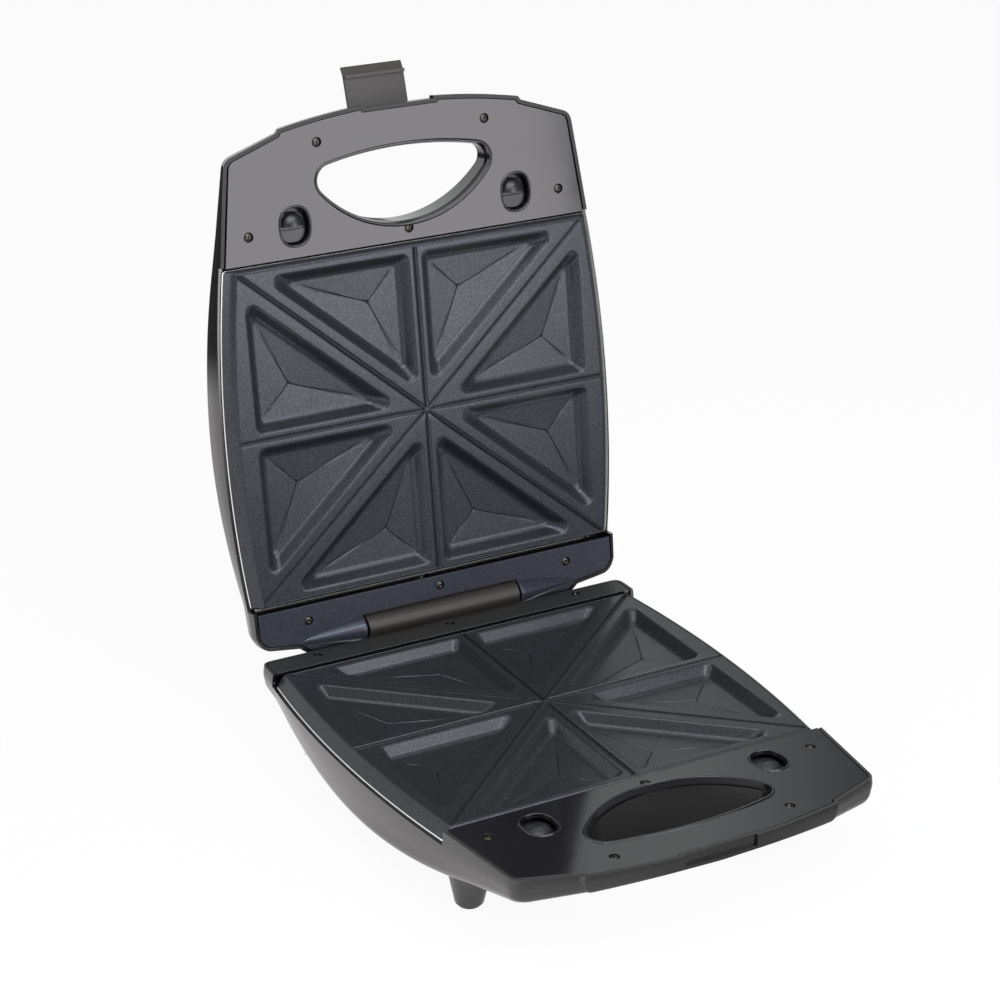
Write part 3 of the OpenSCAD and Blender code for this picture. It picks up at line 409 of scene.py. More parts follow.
black_zinc = metal("black_zinc_on_steel", "#55534f", 0.32, 0.4, 0.01)
aluminised = metal("bright_aluminised_sheet", "#d9dadb", 0.28, 0.8, 0.008)
ground_steel = metal("ground_steel", "#b9bcbf", 0.22, 0.25, 0.004)
sheath_steel = metal("annealed_steel_sheath", "#8f8a80", 0.45, 0.6, 0.01)
spring_wire = metal("bright_spring_wire", "#b4b6b8", 0.25, 0.2, 0.003)
knuckle_pbt = moulded("satin_glass_filled_pbt", "#1f1b17", "#2a2621", 0.42, 0.35, 0.008)
catch_abs = moulded("satin_abs", "#1d1d1f", "#28282b", 0.3, 0.5, 0.006)
latch_pa = moulded("moulded_nylon_66", "#332f2d", "#403a37", 0.34, 0.45, 0.012)
rubber = moulded("epdm_rubber", "#0e0e0e", "#201f1e", 0.7, 0.25, 0.03)
steatite = moulded("steatite_ceramic", "#d9d2c3", "#c9c1af", 0.5, 0.3, 0.01)
white_nylon = moulded("natural_nylon", "#dcd8cb", "#cfcabb", 0.4, 0.5, 0.01)
red_pc = moulded("red_polycarbonate", "#a3160f", "#b82318", 0.08, 6, 0.004, 1.58)
green_pc = moulded("green_polycarbonate", "#156b2b", "#1f8238", 0.08, 6, 0.004, 1.58)
print(len(bpy.data.materials), "materials")

# %% [markdown]
# ## Tools for the pieces
# Most pieces are made in one of three ways: rings of points joined by faces, a profile swept round
# a closed outline, or a flat outline with holes and rounded edges. Each tool returns a plain mesh
# in millimetres, and `piece` puts it in place, gives it its finish and ties it to its body.

# %% Turn a mesh into a piece
MERGE = 0.002


def piece(name, half, mesh, material, body=None, replaces=(), sharp_deg=35):
    """Places a mesh drawn in a half's own millimetres and ties it to its CAD body."""
    shape = bmesh.new()
    shape.from_mesh(mesh)
    bmesh.ops.remove_doubles(shape, verts=shape.verts, dist=MERGE)
    bmesh.ops.recalc_face_normals(shape, faces=shape.faces)
    shape.transform(PLACES[half])
    if half == "lid":
        bmesh.ops.reverse_faces(shape, faces=shape.faces)
    shape.to_mesh(mesh)
    shape.free()
    mesh.name = name
    mesh.polygons.foreach_set("use_smooth", [True] * len(mesh.polygons))
    mesh.set_sharp_from_angle(angle=math.radians(sharp_deg))
    mesh.materials.clear()
    mesh.materials.append(material)
    made = add_object(name, mesh)
    flat = made.modifiers.new("flat_faces_stay_flat", "WEIGHTED_NORMAL")
    flat.keep_sharp = True
    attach(made, body or half)
    if replaces:
        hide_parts(*replaces)
    print(f"{name}: {len(mesh.polygons)} faces")


def mesh_of(points, faces):
    """A plain mesh from points and faces."""
    mesh = bpy.data.meshes.new("work")
    mesh.from_pydata([tuple(p) for p in points], [], faces)
    return mesh


# %% Sweep a profile round a closed outline
def outward(outline):
    """Unit normals that point out of an anticlockwise closed outline."""
    before, after = np.roll(outline, 1, axis=0), np.roll(outline, -1, axis=0)
    first, second = outline - before, after - outline
    first = first / np.linalg.norm(first, axis=1)[:, None]
    second = second / np.linalg.norm(second, axis=1)[:, None]
    n1 = np.stack([first[:, 1], -first[:, 0]], axis=1)
    n2 = np.stack([second[:, 1], -second[:, 0]], axis=1)
    return (n1 + n2) / (1 + np.sum(n1 * n2, axis=1))[:, None]


def sweep(outline, profile):
    """Closed tube: profile points are (outwards, up) from the outline."""
    outline = np.array(outline, float)
    normal = outward(outline)
    n, m = len(outline), len(profile)
    points = [(*(outline[i] + normal[i] * u), z) for i in range(n) for u, z in profile]
    faces = [(i * m + j, ((i + 1) % n) * m + j, ((i + 1) % n) * m + (j + 1) % m, i * m + (j + 1) % m)
             for i in range(n) for j in range(m)]
    return mesh_of(points, faces)


def grown(outline, distance):
    """A closed outline moved outwards by a distance."""
    outline = np.array(outline, float)
    return outline + outward(outline) * distance


print("a unit square grown by 1 spans", np.ptp(grown([(0, 0), (1, 0), (1, 1), (0, 1)], 1.0), axis=0))

# %% Flat plate with holes and rounded edges
ROUND_STEPS = 3


def rounded_plate(outlines, thickness, round_r, top):
    """Prism between z = top - thickness and top, from an outer outline and its holes."""
    curve = bpy.data.curves.new("work", "CURVE")
    curve.dimensions, curve.fill_mode = "2D", "BOTH"
    curve.extrude = thickness / 2 - round_r
    curve.bevel_depth, curve.bevel_resolution, curve.offset = round_r, ROUND_STEPS, -round_r
    for outline in outlines:
        spline = curve.splines.new("POLY")
        spline.points.add(len(outline) - 1)
        spline.use_cyclic_u = True
        for point, (x, y) in zip(spline.points, outline):
            point.co = (x, y, 0, 1)
    holder = bpy.data.objects.new("work", curve)
    mesh = bpy.data.meshes.new_from_object(holder)
    bpy.data.objects.remove(holder)
    mesh.transform(Matrix.Translation((0, 0, top - thickness / 2)))
    return mesh


def corners_of(low, high):
    """Corners of a rectangle, anticlockwise."""
    return [(low[0], low[1]), (high[0], low[1]), (high[0], high[1]), (low[0], high[1])]


def rounded_box(low, high, round_r):
    """Box with rounded edges."""
    return rounded_plate([corners_of(low, high)], high[2] - low[2], round_r, high[2])


def circle(x, y, r, count=32):
    """Closed round outline."""
    return [(x + r * math.cos(2 * math.pi * k / count), y + r * math.sin(2 * math.pi * k / count))
            for k in range(count)]


OVAL_POINTS, FULLNESS = 64, 2.5


def oval(x, y, rx, ry):
    """Superellipse, fuller than an ellipse and rounder than a rectangle."""
    ring = []
    for a in np.linspace(0, 2 * math.pi, OVAL_POINTS, endpoint=False):
        c, t = math.cos(a), math.sin(a)
        stretch = (abs(c) ** FULLNESS + abs(t) ** FULLNESS) ** (-1 / FULLNESS)
        ring.append((x + rx * c * stretch, y + ry * t * stretch))
    return ring


def joined(*meshes):
    """One mesh from several."""
    shape = bmesh.new()
    for mesh in meshes:
        shape.from_mesh(mesh)
    out = bpy.data.meshes.new("work")
    shape.to_mesh(out)
    shape.free()
    return out


print("an oval has", len(oval(0, 0, 1, 1)), "points")

# %% [markdown]
# ## The outlines
# The same few sizes drive both halves: a plate whose sides swell in a shallow arc, a handle that
# narrows to a curved nose, and a lens-shaped finger hole between two arcs.

# %% Outline of the plates and the casing
PLATE_D = 236.0
PLATE_REAR_W, PLATE_FRONT_W, PLATE_SWELL = 276.0, 270.0, 8.0
SKIRT_FLARE, CASING_GAP, WALL, FIT = 5.0, 1.2, 2.6, 0.3
HANDLE_LEN, HANDLE_FRONT_W, CORNER_BACK = 95.0, 263.0, 25.0
NOSE_W, NOSE_STEP, FRONT_ARC_R = 182.0, 2.8, 470.0
FRONT_Y = -(PLATE_D + HANDLE_LEN + WALL + FIT)
MID_Y = -PLATE_D / 2


def plate_half(y):
    """Half the plate's width at y: it tapers to the handle and swells in between."""
    t = -y / PLATE_D
    return (PLATE_REAR_W * (1 - t) + PLATE_FRONT_W * t) / 2 + PLATE_SWELL * 4 * t * (1 - t)


def casing_half(y):
    """Half the casing's width beside the plate."""
    return plate_half(y) + SKIRT_FLARE + CASING_GAP


def bend(a, c, b, count):
    """Points of a rounded corner from a to b, whose sharp corner is c."""
    a, b, c = np.array(a), np.array(b), np.array(c)
    ts = np.linspace(0, 1, count)
    return [tuple(a * (1 - t) ** 2 + c * 2 * t * (1 - t) + b * t ** 2) for t in ts]


def front_arc(x):
    """The handle's curved front edge."""
    return FRONT_Y + FRONT_ARC_R - math.sqrt(FRONT_ARC_R ** 2 - x * x)


def toward(a, b, distance):
    """The point that lies a distance from a on the way to b."""
    a, b = np.array(a, float), np.array(b, float)
    return tuple(a + (b - a) / np.linalg.norm(b - a) * distance)


def handle_stations():
    """Right half of the handle's outline, from the nose to the plates."""
    nose = [(x, front_arc(x)) for x in np.linspace(4, NOSE_W / 2, 18)]
    shoulder = (NOSE_W / 2 + 2, front_arc(NOSE_W / 2) + NOSE_STEP)
    corner = (HANDLE_FRONT_W / 2, FRONT_Y + CORNER_BACK)
    rear = (casing_half(-PLATE_D), -PLATE_D)
    turn = bend(toward(corner, shoulder, 6), corner, toward(corner, rear, 6), 9)
    middle = [tuple(np.array(turn[-1]) * (1 - t) + np.array(rear) * t) for t in (0.33, 0.66)]
    return nose + [shoulder] + turn + middle


side_stations = [(casing_half(y), y) for y in np.linspace(-PLATE_D, 0, 34)]
print("casing is", round(2 * max(p[0] for p in side_stations), 1), "mm wide")

# %% Outline of the finger hole
HOLE_REAR_R, HOLE_FRONT_R, HOLE_LEN, HOLE_TIP_R = 83.0, 275.0, 53.5, 11.0
HOLE_TOP_Y = -PLATE_D - 13.5
ARC_POINTS, TIP_POINTS = 40, 14


def lens(grow=0.0):
    """Closed outline between two arcs, with rounded ends, anticlockwise."""
    rear_c, front_c = HOLE_TOP_Y - HOLE_REAR_R, HOLE_TOP_Y - HOLE_LEN + HOLE_FRONT_R
    a, b = HOLE_REAR_R - HOLE_TIP_R, HOLE_FRONT_R - HOLE_TIP_R
    gap = front_c - rear_c
    tip_y = (a * a - b * b + gap * gap) / (2 * gap)
    tip_x, tip_y = math.sqrt(a * a - tip_y * tip_y), rear_c + tip_y
    rear_from = math.atan2(tip_y - rear_c, tip_x)
    front_from = math.atan2(tip_y - front_c, tip_x)

    def arc(x, y, r, start, end, count):
        return [(x + math.cos(k) * (r + grow), y + math.sin(k) * (r + grow))
                for k in np.linspace(start, end, count)]

    return (arc(0, rear_c, HOLE_REAR_R, rear_from, math.pi - rear_from, ARC_POINTS)
            + arc(-tip_x, tip_y, HOLE_TIP_R, math.pi - rear_from, math.pi - front_from, TIP_POINTS)[1:-1]
            + arc(0, front_c, HOLE_FRONT_R, -math.pi - front_from, front_from, ARC_POINTS)
            + arc(tip_x, tip_y, HOLE_TIP_R, front_from, rear_from, TIP_POINTS)[1:-1])


hole_xs = [p[0] for p in lens()]
print("finger hole is", round(max(hole_xs) - min(hole_xs), 1), "mm wide")

# %% [markdown]
# ## Cooking plates
# Each plate is a thin casting with eight triangular pockets. A grid lifted by a height function
# would blur the slanting ribs, so the surface is made of rings instead. Every pocket has its own
# wedge of the plate, and each ring follows the wedge's three sides: along the groove, over the
# land, down the wall and across the floor. Wedges share their border points, so the merged surface
# is closed. A wall rolls over at its lip, drops at 56 degrees and rounds into the floor, and the
# floor is a shallow pyramid whose three valleys carry fine creases.

# %% Rings of one wedge
POCKET_R = 4.5
QUAD_W = PLATE_FRONT_W / 2 + 2
CENTRE_MARGIN, EDGE_MARGIN, RIB_MARGIN, SIDE_MARGIN = 5.8, 7.5, 9.4, 8.5
RIM_IN, CAST_T = 3.0, 3.0
SIDE_POINTS, CORNER_POINTS = 12, 8


def inset_corners(corners, margins):
    """Corners of an anticlockwise triangle with each side moved in by its own margin."""
    lines = []
    for i in range(3):
        a, b = np.array(corners[i], float), np.array(corners[(i + 1) % 3], float)
        normal = np.array([a[1] - b[1], b[0] - a[0]]) / np.linalg.norm(b - a)
        lines.append((normal, normal @ a + margins[i]))
    return [np.linalg.solve(np.array([lines[i - 1][0], lines[i][0]]), [lines[i - 1][1], lines[i][1]])
            for i in range(3)]


def triangle_ring(corners, radius, levels, crease=0.0):
    """Points round a triangle with rounded corners; levels are the heights of its three sides."""
    centres = inset_corners(corners, [radius] * 3) if radius > 0 else [np.array(c, float) for c in corners]
    arcs = []
    for i in range(3):
        before = np.array(corners[i], float) - corners[i - 1]
        after = np.array(corners[(i + 1) % 3], float) - corners[i]
        start = math.atan2(before[1], before[0]) - math.pi / 2
        turn = (math.atan2(after[1], after[0]) - math.pi / 2 - start) % (2 * math.pi)
        arc = []
        for s in np.linspace(0, 1, CORNER_POINTS + 1):
            a = start + turn * s
            level = levels[i - 1] * (1 - s) + levels[i] * s - crease * (1 - abs(2 * s - 1))
            arc.append((centres[i][0] + radius * math.cos(a), centres[i][1] + radius * math.sin(a), level))
        arcs.append(arc)
    ring = []
    for i in range(3):
        ring += arcs[i]
        a, b = np.array(arcs[i][-1]), np.array(arcs[(i + 1) % 3][0])
        ring += [tuple(a + (b - a) * s) for s in np.linspace(0, 1, SIDE_POINTS + 1)[1:-1]]
    return ring


def in_radius(corners):
    """Radius of a triangle's inscribed circle."""
    sides = [np.linalg.norm(np.array(corners[i]) - corners[(i + 1) % 3]) for i in range(3)]
    a, b = np.array(corners[1]) - corners[0], np.array(corners[2]) - corners[0]
    return abs(a[0] * b[1] - a[1] * b[0]) / sum(sides)


print("a ring has", len(triangle_ring([(0, 0), (3, 0), (0, 3)], 0.0, [0.0] * 3)), "points")

# %% Walls of a pocket
WALL_START, WALL_SLOPE, WALL_FOOT_Z = -1.7, math.radians(56), -7.9
LIP_R, FOOT_R = 2.6, 5.0
FLOOR_FALL, CREASE_D, CREASE_W = 0.7, 0.6, 0.45
LIP_STEPS, FOOT_STEPS, FLOOR_STEPS = 6, 8, (0.08, 0.2, 0.35, 0.5, 0.65, 0.8, 0.92, 0.97)
WIDER_AT_LIP, NARROWER_AT_FOOT = 1.4, 3.6
CREASE_FROM, CREASE_FULL, SWELL_POWER = 0.05, 0.5, 12


def wall_rings():
    """Rings down a pocket's wall as (inset, level, extra corner radius): lip, slope and foot."""
    lip = [(WALL_START + LIP_R * math.sin(a), -LIP_R * (1 - math.cos(a)))
           for a in np.linspace(0, WALL_SLOPE, LIP_STEPS)]
    drop = lip[-1][1] - WALL_FOOT_Z - FOOT_R * (1 - math.cos(WALL_SLOPE))
    foot_x = lip[-1][0] + drop / math.tan(WALL_SLOPE) + FOOT_R * math.sin(WALL_SLOPE)
    foot = [(foot_x - FOOT_R * math.sin(a), WALL_FOOT_Z + FOOT_R * (1 - math.cos(a)))
            for a in np.linspace(WALL_SLOPE, 0, FOOT_STEPS)]
    both = lip + foot
    first, last = both[0][0], both[-1][0]
    return [(x, z, WIDER_AT_LIP - NARROWER_AT_FOOT * (x - first) / (last - first)) for x, z in both]


WALL_RINGS = wall_rings()
UNDER_RINGS = [(-3.2, -3.0, 2.5), (5.4, -9.8, 0.0)]
UNDER_TIP = -12.4
print("a pocket is", -WALL_FOOT_Z, "mm deep at its wall's foot, in", len(WALL_RINGS), "rings")


# %% One wedge with its pocket
def wedge(tile, pocket, ridge, rim_side, half_at):
    """Top rings and under rings; rim_side is the side that lies along the plate's edge."""
    def fitted(ring):
        """Bends the wedge's straight outer side to the plate's swelling edge."""
        if rim_side != 0:
            return ring
        out = []
        for x, y, z in ring:
            chord = tile[0][0] + (tile[1][0] - tile[0][0]) * (y - tile[0][1]) / (tile[1][1] - tile[0][1])
            share = min(1.0, max(0.0, x / chord)) ** SWELL_POWER
            out.append((x + (half_at(y) - RIM_IN - chord) * share, y, z))
        return out

    top = []
    for margin, level in ridge:
        margins = [0.0 if i == rim_side else margin for i in range(3)]
        levels = [0.0 if i == rim_side else level for i in range(3)]
        top.append(fitted(triangle_ring(inset_corners(tile, margins), 0.0, levels)))
    reach = in_radius(pocket)
    for inset, level, round_more in WALL_RINGS:
        top.append(triangle_ring(inset_corners(pocket, [inset] * 3), POCKET_R + round_more, [level] * 3))
    last = WALL_RINGS[-1]
    for f in FLOOR_STEPS:
        inset = last[0] + (reach - last[0]) * f
        radius = min((POCKET_R + last[2]) * (1 - f) ** 3 + CREASE_W, 0.8 * (reach - inset))
        depth = CREASE_D * min(1.0, max(0.0, f - CREASE_FROM) / CREASE_FULL)
        top.append(triangle_ring(inset_corners(pocket, [inset] * 3), radius,
                                 [last[1] - FLOOR_FALL * f] * 3, depth))
    under = [fitted(triangle_ring(tile, 0.0, [-CAST_T] * 3))]
    for inset, level, round_more in UNDER_RINGS:
        under.append(triangle_ring(inset_corners(pocket, [inset] * 3), POCKET_R + round_more, [level] * 3))
    return top, under


print("a pocket's floor falls by", FLOOR_FALL, "mm and its creases by", CREASE_D)

# %% Rim of a plate
PLATE_ROUND = 2.0


def plate_outline():
    """Closed anticlockwise outline of a plate, with slightly rounded corners."""
    right = [(plate_half(y), y) for y in np.linspace(-PLATE_D, 0, 40)]
    first, last = right[0], right[-1]
    front = bend(toward(first, (0, -PLATE_D), PLATE_ROUND), first, toward(first, right[1], PLATE_ROUND), 6)
    rear = bend(toward(last, right[-2], PLATE_ROUND), last, toward(last, (0, 0), PLATE_ROUND), 6)
    half = front + right[1:-1] + rear
    return half + [(-x, y) for x, y in reversed(half)]


# The rim: a fine line where the land ends, a rolled shoulder and the skirt down to its foot.
RIM_PROFILE = [(-3.02, -2.9), (-3.02, 0.0), (-2.9, -0.2), (-2.72, -0.2), (-2.55, 0.08), (-2.3, 0.2),
               (-2.0, 0.16), (-1.6, -0.02), (-1.15, -0.4), (-0.75, -0.95), (-0.42, -1.65),
               (-0.18, -2.5), (-0.04, -3.4), (0.0, -4.4), (0.0, -7.6), (-0.25, -8.0), (-2.2, -8.0),
               (-2.5, -7.7), (-2.5, -2.9)]
SKIRT_D = 8.0
BOSS_R, BOSS_T = 9, 9.8
HOOK_X, HOOK_W, HOOK_T, HOOK_UNDER_PANEL = 85, 18, 2.2, 10.9


def flared(mesh):
    """Spreads a skirt's foot sideways, as the mould's draft does."""
    flare = SKIRT_FLARE / plate_half(MID_Y)
    for v in mesh.vertices:
        v.co.x *= 1 + flare * min(1.0, max(0.0, -v.co.z / SKIRT_D))
    return mesh


print("a plate's outline has", len(plate_outline()), "points")


# %% A whole plate
def pocket_wedges(ridge, end):
    """Rings of the two wedges in the right half, at the hinge end (0) or the handle end (1)."""
    def half_at(y):
        return plate_half(-PLATE_D - y if end else y)

    corner_pt = (half_at(0) - RIM_IN, -RIM_IN)
    side_mid = (half_at(MID_Y) - RIM_IN, MID_Y)
    inner = inset_corners([(0, 0), (0, MID_Y), (QUAD_W, 0)], [CENTRE_MARGIN, RIB_MARGIN, EDGE_MARGIN])
    outer = inset_corners([(QUAD_W, MID_Y), (QUAD_W, 0), (0, MID_Y)], [SIDE_MARGIN, RIB_MARGIN, CENTRE_MARGIN])
    # side 2 of the inner wedge and side 0 of the outer one lie along the plate's edge
    for tile, pocket, rim_side in (([(0, -RIM_IN), (0, MID_Y), corner_pt], inner, 2),
                                   ([side_mid, corner_pt, (0, MID_Y)], outer, 0)):
        top, under = wedge(tile, pocket, ridge, rim_side, half_at)
        weights = [np.linalg.norm(pocket[(i + 1) % 3] - pocket[(i + 2) % 3]) for i in range(3)]
        middle = sum(w * p for w, p in zip(weights, pocket)) / sum(weights)
        yield top, under, middle, rim_side


def cast_plate(ridge, panel_up):
    """A whole plate: eight wedges, the rim, a boss underneath and two hooks for the catches."""
    points, faces = [], []

    def add_rings(rings, close_at):
        n, base = len(rings[0]), len(points)
        for ring in rings:
            points.extend(ring)
        for i in range(len(rings) - 1):
            for j in range(n):
                k, here, there = (j + 1) % n, base + i * n, base + (i + 1) * n
                faces.append((here + j, here + k, there + k, there + j))
        points.append(close_at)
        last = base + (len(rings) - 1) * n
        faces.extend((last + j, last + (j + 1) % n, len(points) - 1) for j in range(n))

    for end in (0, 1):
        for top, under, middle, rim_side in pocket_wedges(ridge, end):
            start = (rim_side * (CORNER_POINTS + SIDE_POINTS)) + CORNER_POINTS
            for sx in (1, -1):
                def place(p, sx=sx, end=end):
                    return (p[0] * sx, -PLATE_D - p[1] if end else p[1], p[2])
                add_rings([[place(p) for p in ring] for ring in top],
                          place((*middle, WALL_RINGS[-1][1] - FLOOR_FALL - CREASE_D)))
                add_rings([[place(p) for p in ring] for ring in under], place((*middle, UNDER_TIP)))
                n = len(top[0])
                for s in range(SIDE_POINTS):
                    a, b = (start + s) % n, (start + s + 1) % n
                    base = len(points)
                    points.extend(place(p) for p in (top[0][a], top[0][b], under[0][b], under[0][a]))
                    faces.append((base, base + 1, base + 2, base + 3))
    shapes = [mesh_of(points, faces), flared(sweep(plate_outline(), RIM_PROFILE)),
              rounded_plate([circle(0, MID_Y, BOSS_R, 48)], BOSS_T, 0.6, -CAST_T)]
    hook_top = panel_up - HOOK_UNDER_PANEL
    for s in (-1, 1):
        left, right = s * HOOK_X - HOOK_W / 2, s * HOOK_X + HOOK_W / 2
        low = hook_top - HOOK_T
        shapes.append(rounded_box((left, -PLATE_D, low), (right, -PLATE_D + 2.5, -2.4), 0.4))
        shapes.append(rounded_box((left, -PLATE_D - 5.2, low), (right, -PLATE_D + 0.8, hook_top), 0.4))
    return joined(*shapes)


print("each hook is", HOOK_W, "mm wide and", HOOK_T, "mm thick")

# %% [markdown]
# The lower plate has grooves between its pockets and the upper plate has ribs that press into
# them, which seals the bread's edges. Both are the first rings of each wedge. The spray stops short
# of the skirt's foot, which is ground flat after casting, so a thin strip of bare metal goes round
# each plate there. The strip is a sweep of its own round the plate's outline.

# %% Make the plates
GROOVE_RINGS = [(0.0, -1.6), (0.6, -1.57), (0.95, -1.15), (1.2, -0.4), (1.35, 0.12), (1.55, 0.34),
                (1.85, 0.28), (2.2, 0.08), (2.6, 0.0)]
RIB_RINGS = [(0.0, 1.2), (0.3, 1.15), (0.5, 0.88), (0.65, 0.4), (0.8, -0.15), (1.05, -0.42),
             (1.35, -0.34), (1.8, -0.08), (2.4, 0.0)]
# the lower plate takes the darker copy of the coating, which is painted shade
piece("cast_plate_lower", "base", cast_plate(GROOVE_RINGS, BASE_UP), coating_lower_painted_shade,
      replaces=["base_plate"], sharp_deg=50)
piece("cast_plate_upper", "lid", cast_plate(RIB_RINGS, LID_UP), coating,
      replaces=["lid_plate"], sharp_deg=50)
BARE_EDGE = [(-0.6, -7.3), (0.1, -7.3), (0.22, -7.4), (0.22, -7.88), (0.1, -8.03), (-0.6, -8.03)]
for half, name in (("base", "bare_edge_lower"), ("lid", "bare_edge_upper")):
    piece(name, half, flared(sweep(plate_outline(), BARE_EDGE)), aluminised)

# %% [markdown]
# ## Casings
# Each casing is a thin bowl whose depth grows from the lip to a belly and shrinks again. It is
# lofted through cross-sections, as the moulder's tool would be cut: one loft for the outside and
# one, a wall's thickness smaller, for the inside. Screw posts and walls that stay are first taken
# out of the inside, and taking the inside from the outside then leaves them standing with an even
# wall. Openings are cut in the same step. A narrow rounding along every edge catches the light.

# %% Solids to cut with
CUT_MERGE, BEVEL_DEG, BEVEL_STEPS = 0.001, 40, 2
TURNS = {"x": Matrix.Rotation(math.pi / 2, 4, "Y"), "y": Matrix.Rotation(-math.pi / 2, 4, "X"),
         "z": Matrix.Identity(4)}


def tidy(mesh):
    """Merged points and outward faces, which a cut needs."""
    shape = bmesh.new()
    shape.from_mesh(mesh)
    bmesh.ops.remove_doubles(shape, verts=shape.verts, dist=CUT_MERGE)
    bmesh.ops.recalc_face_normals(shape, faces=shape.faces)
    shape.to_mesh(mesh)
    shape.free()
    return mesh


def loft(rings):
    """Closed solid through rings with equal numbers of points."""
    n, m = len(rings), len(rings[0])
    faces = [(i * m + j, (i + 1) * m + j, (i + 1) * m + (j + 1) % m, i * m + (j + 1) % m)
             for i in range(n - 1) for j in range(m)]
    faces += [tuple(range(m)), tuple((n - 1) * m + j for j in reversed(range(m)))]
    return tidy(mesh_of([p for ring in rings for p in ring], faces))


def prism(outline, low, high):
    """Upright solid on an outline."""
    return loft([[(x, y, low) for x, y in outline], [(x, y, high) for x, y in outline]])


def block(low, high):
    """Sharp-edged box."""
    return prism(corners_of(low, high), low[2], high[2])


def lathe(profile, at, axis="z", count=48):
    """Closed solid of revolution; the profile is (radius, along), from one end to the other."""
    around = np.linspace(0, 2 * math.pi, count, endpoint=False)
    mesh = loft([[(radius * math.cos(a), radius * math.sin(a), along) for a in around]
                 for radius, along in profile])
    mesh.transform(Matrix.Translation(at) @ TURNS[axis])
    return mesh


def applied(holder, helpers=()):
    """Plain mesh of an object with its modifiers applied; the object and its helpers go."""
    result = bpy.data.meshes.new_from_object(holder.evaluated_get(bpy.context.evaluated_depsgraph_get()))
    holder.modifiers.clear()
    for item in (holder, *helpers):
        bpy.data.objects.remove(item)
    return result


def boolean(target, tools, mode="DIFFERENCE"):
    """Exact boolean of one mesh with each tool in turn."""
    holder = add_object("work", target)
    helpers = [add_object("tool", tool) for tool in tools]
    for helper in helpers:
        step = holder.modifiers.new("cut", "BOOLEAN")
        step.operation, step.solver, step.object = mode, "EXACT", helper
    return applied(holder, helpers)


def soft_edges(mesh, width):
    """Rounds every sharp edge."""
    holder = add_object("work", mesh)
    step = holder.modifiers.new("round", "BEVEL")
    step.width, step.segments, step.limit_method = width, BEVEL_STEPS, "ANGLE"
    step.angle_limit, step.use_clamp_overlap = math.radians(BEVEL_DEG), True
    return applied(holder)


print("edges over", BEVEL_DEG, "degrees will be rounded in", BEVEL_STEPS, "steps")

# %% The casings' shapes
BASE_LIP, BASE_BELLY, BASE_REAR_D, BASE_BELLY_Y = 9.0, 45.5, 18.0, -140.0
LID_LIP, LID_BELLY, LID_REAR_D, LID_BELLY_Y = 11.5, 41.0, 15.0, -115.0
BASE_REAR_Y, LID_REAR_Y = HINGE_BACK - 8.1, HINGE_BACK + 9.8
EDGE_R, TOP_R, EDGE_ROUND, CROWN = 11.0, 0.9, 0.45, 0.25
KNUCKLE_LEN, KNUCKLE_R, KNUCKLE_GAP, FAIRING_LEN = 121.0, 9.3, 1.4, 50.0
side_x = side_stations[-1][0]


def depth_at(y, lip, belly, rear, belly_y, rear_y):
    """A casing's depth at y: two quarter waves that meet at the belly."""
    if y < belly_y:
        return lip + (belly - lip) * math.sin(math.pi / 2 * max(0, y - FRONT_Y) / (belly_y - FRONT_Y))
    return rear + (belly - rear) * math.sin(math.pi / 2 * max(0, rear_y - y) / (rear_y - belly_y))


def base_depth(y):
    """Depth of the lower casing."""
    return depth_at(y, BASE_LIP, BASE_BELLY, BASE_REAR_D, BASE_BELLY_Y, BASE_REAR_Y)


def lid_depth(y):
    """Depth of the upper casing."""
    return depth_at(y, LID_LIP, LID_BELLY, LID_REAR_D, LID_BELLY_Y, LID_REAR_Y)


# Each rear corner is a bend; the upper one then steps back behind the fairings.
base_rear = bend((side_x - 0.2, BASE_REAR_Y - 7), (side_x - 0.4, BASE_REAR_Y),
                 (side_x - 7, BASE_REAR_Y), 8)
fairing_x = KNUCKLE_LEN / 2 + KNUCKLE_GAP + FAIRING_LEN
lid_rear = bend((side_x - 0.4, LID_REAR_Y - 20), (side_x - 3, LID_REAR_Y - 9.5),
                (side_x - 12, LID_REAR_Y - 8.8), 8)
lid_rear += [(fairing_x, LID_REAR_Y - 6), (fairing_x - 5, LID_REAR_Y - 2), (fairing_x - 8, LID_REAR_Y)]
base_side = handle_stations() + side_stations + base_rear
lid_side = handle_stations() + side_stations + lid_rear


def section(x, y, d, top, r):
    """One cross-section: bulging side, rounded long edge and crowned underside."""
    half = [(x + TOP_R * math.sin(math.pi * s), y, top + (-d + r - top) * s)
            for s in np.linspace(0, 1, 7)[:-1]]
    half += [(x - r + r * math.cos(a), y, -d + r - r * math.sin(a)) for a in np.linspace(0, math.pi / 2, 10)]
    half += [(x * 0.5 - r * 0.5, y, -d - CROWN)]
    return half + [(-px, py, pz) for px, py, pz in reversed(half)]


def left_of(a, b):
    """Unit normal to the left of the way from a to b."""
    v = np.array(b) - a
    v = v / np.linalg.norm(v)
    return np.array([-v[1], v[0]])


def moved_in(stations, d):
    """Half outline moved in by d with mitred corners."""
    out = []
    for i, p in enumerate(stations):
        m = np.array([0.0, 1.0]) if i == 0 else left_of(np.array(stations[i - 1]), stations[i])
        n = np.array([0.0, -1.0]) if i == len(stations) - 1 else left_of(np.array(p), stations[i + 1])
        out.append(tuple(np.array(p) + d * (m + n) / (1 + m @ n)))
    return out


def bowl(stations, depth, top, inset=0.0):
    """Solid bowl under a half outline; an inset makes the smaller one for the inside."""
    rings = []
    for x, y in (moved_in(stations, inset) if inset else stations):
        d = depth(y) - inset
        r = min(EDGE_R - inset, (0.4 if inset else 0.42) * d, 0.8 * x)
        rings.append(section(x, y, d, top, r))
    return loft(rings)


print("lower casing", len(base_side), "stations, upper casing", len(lid_side))

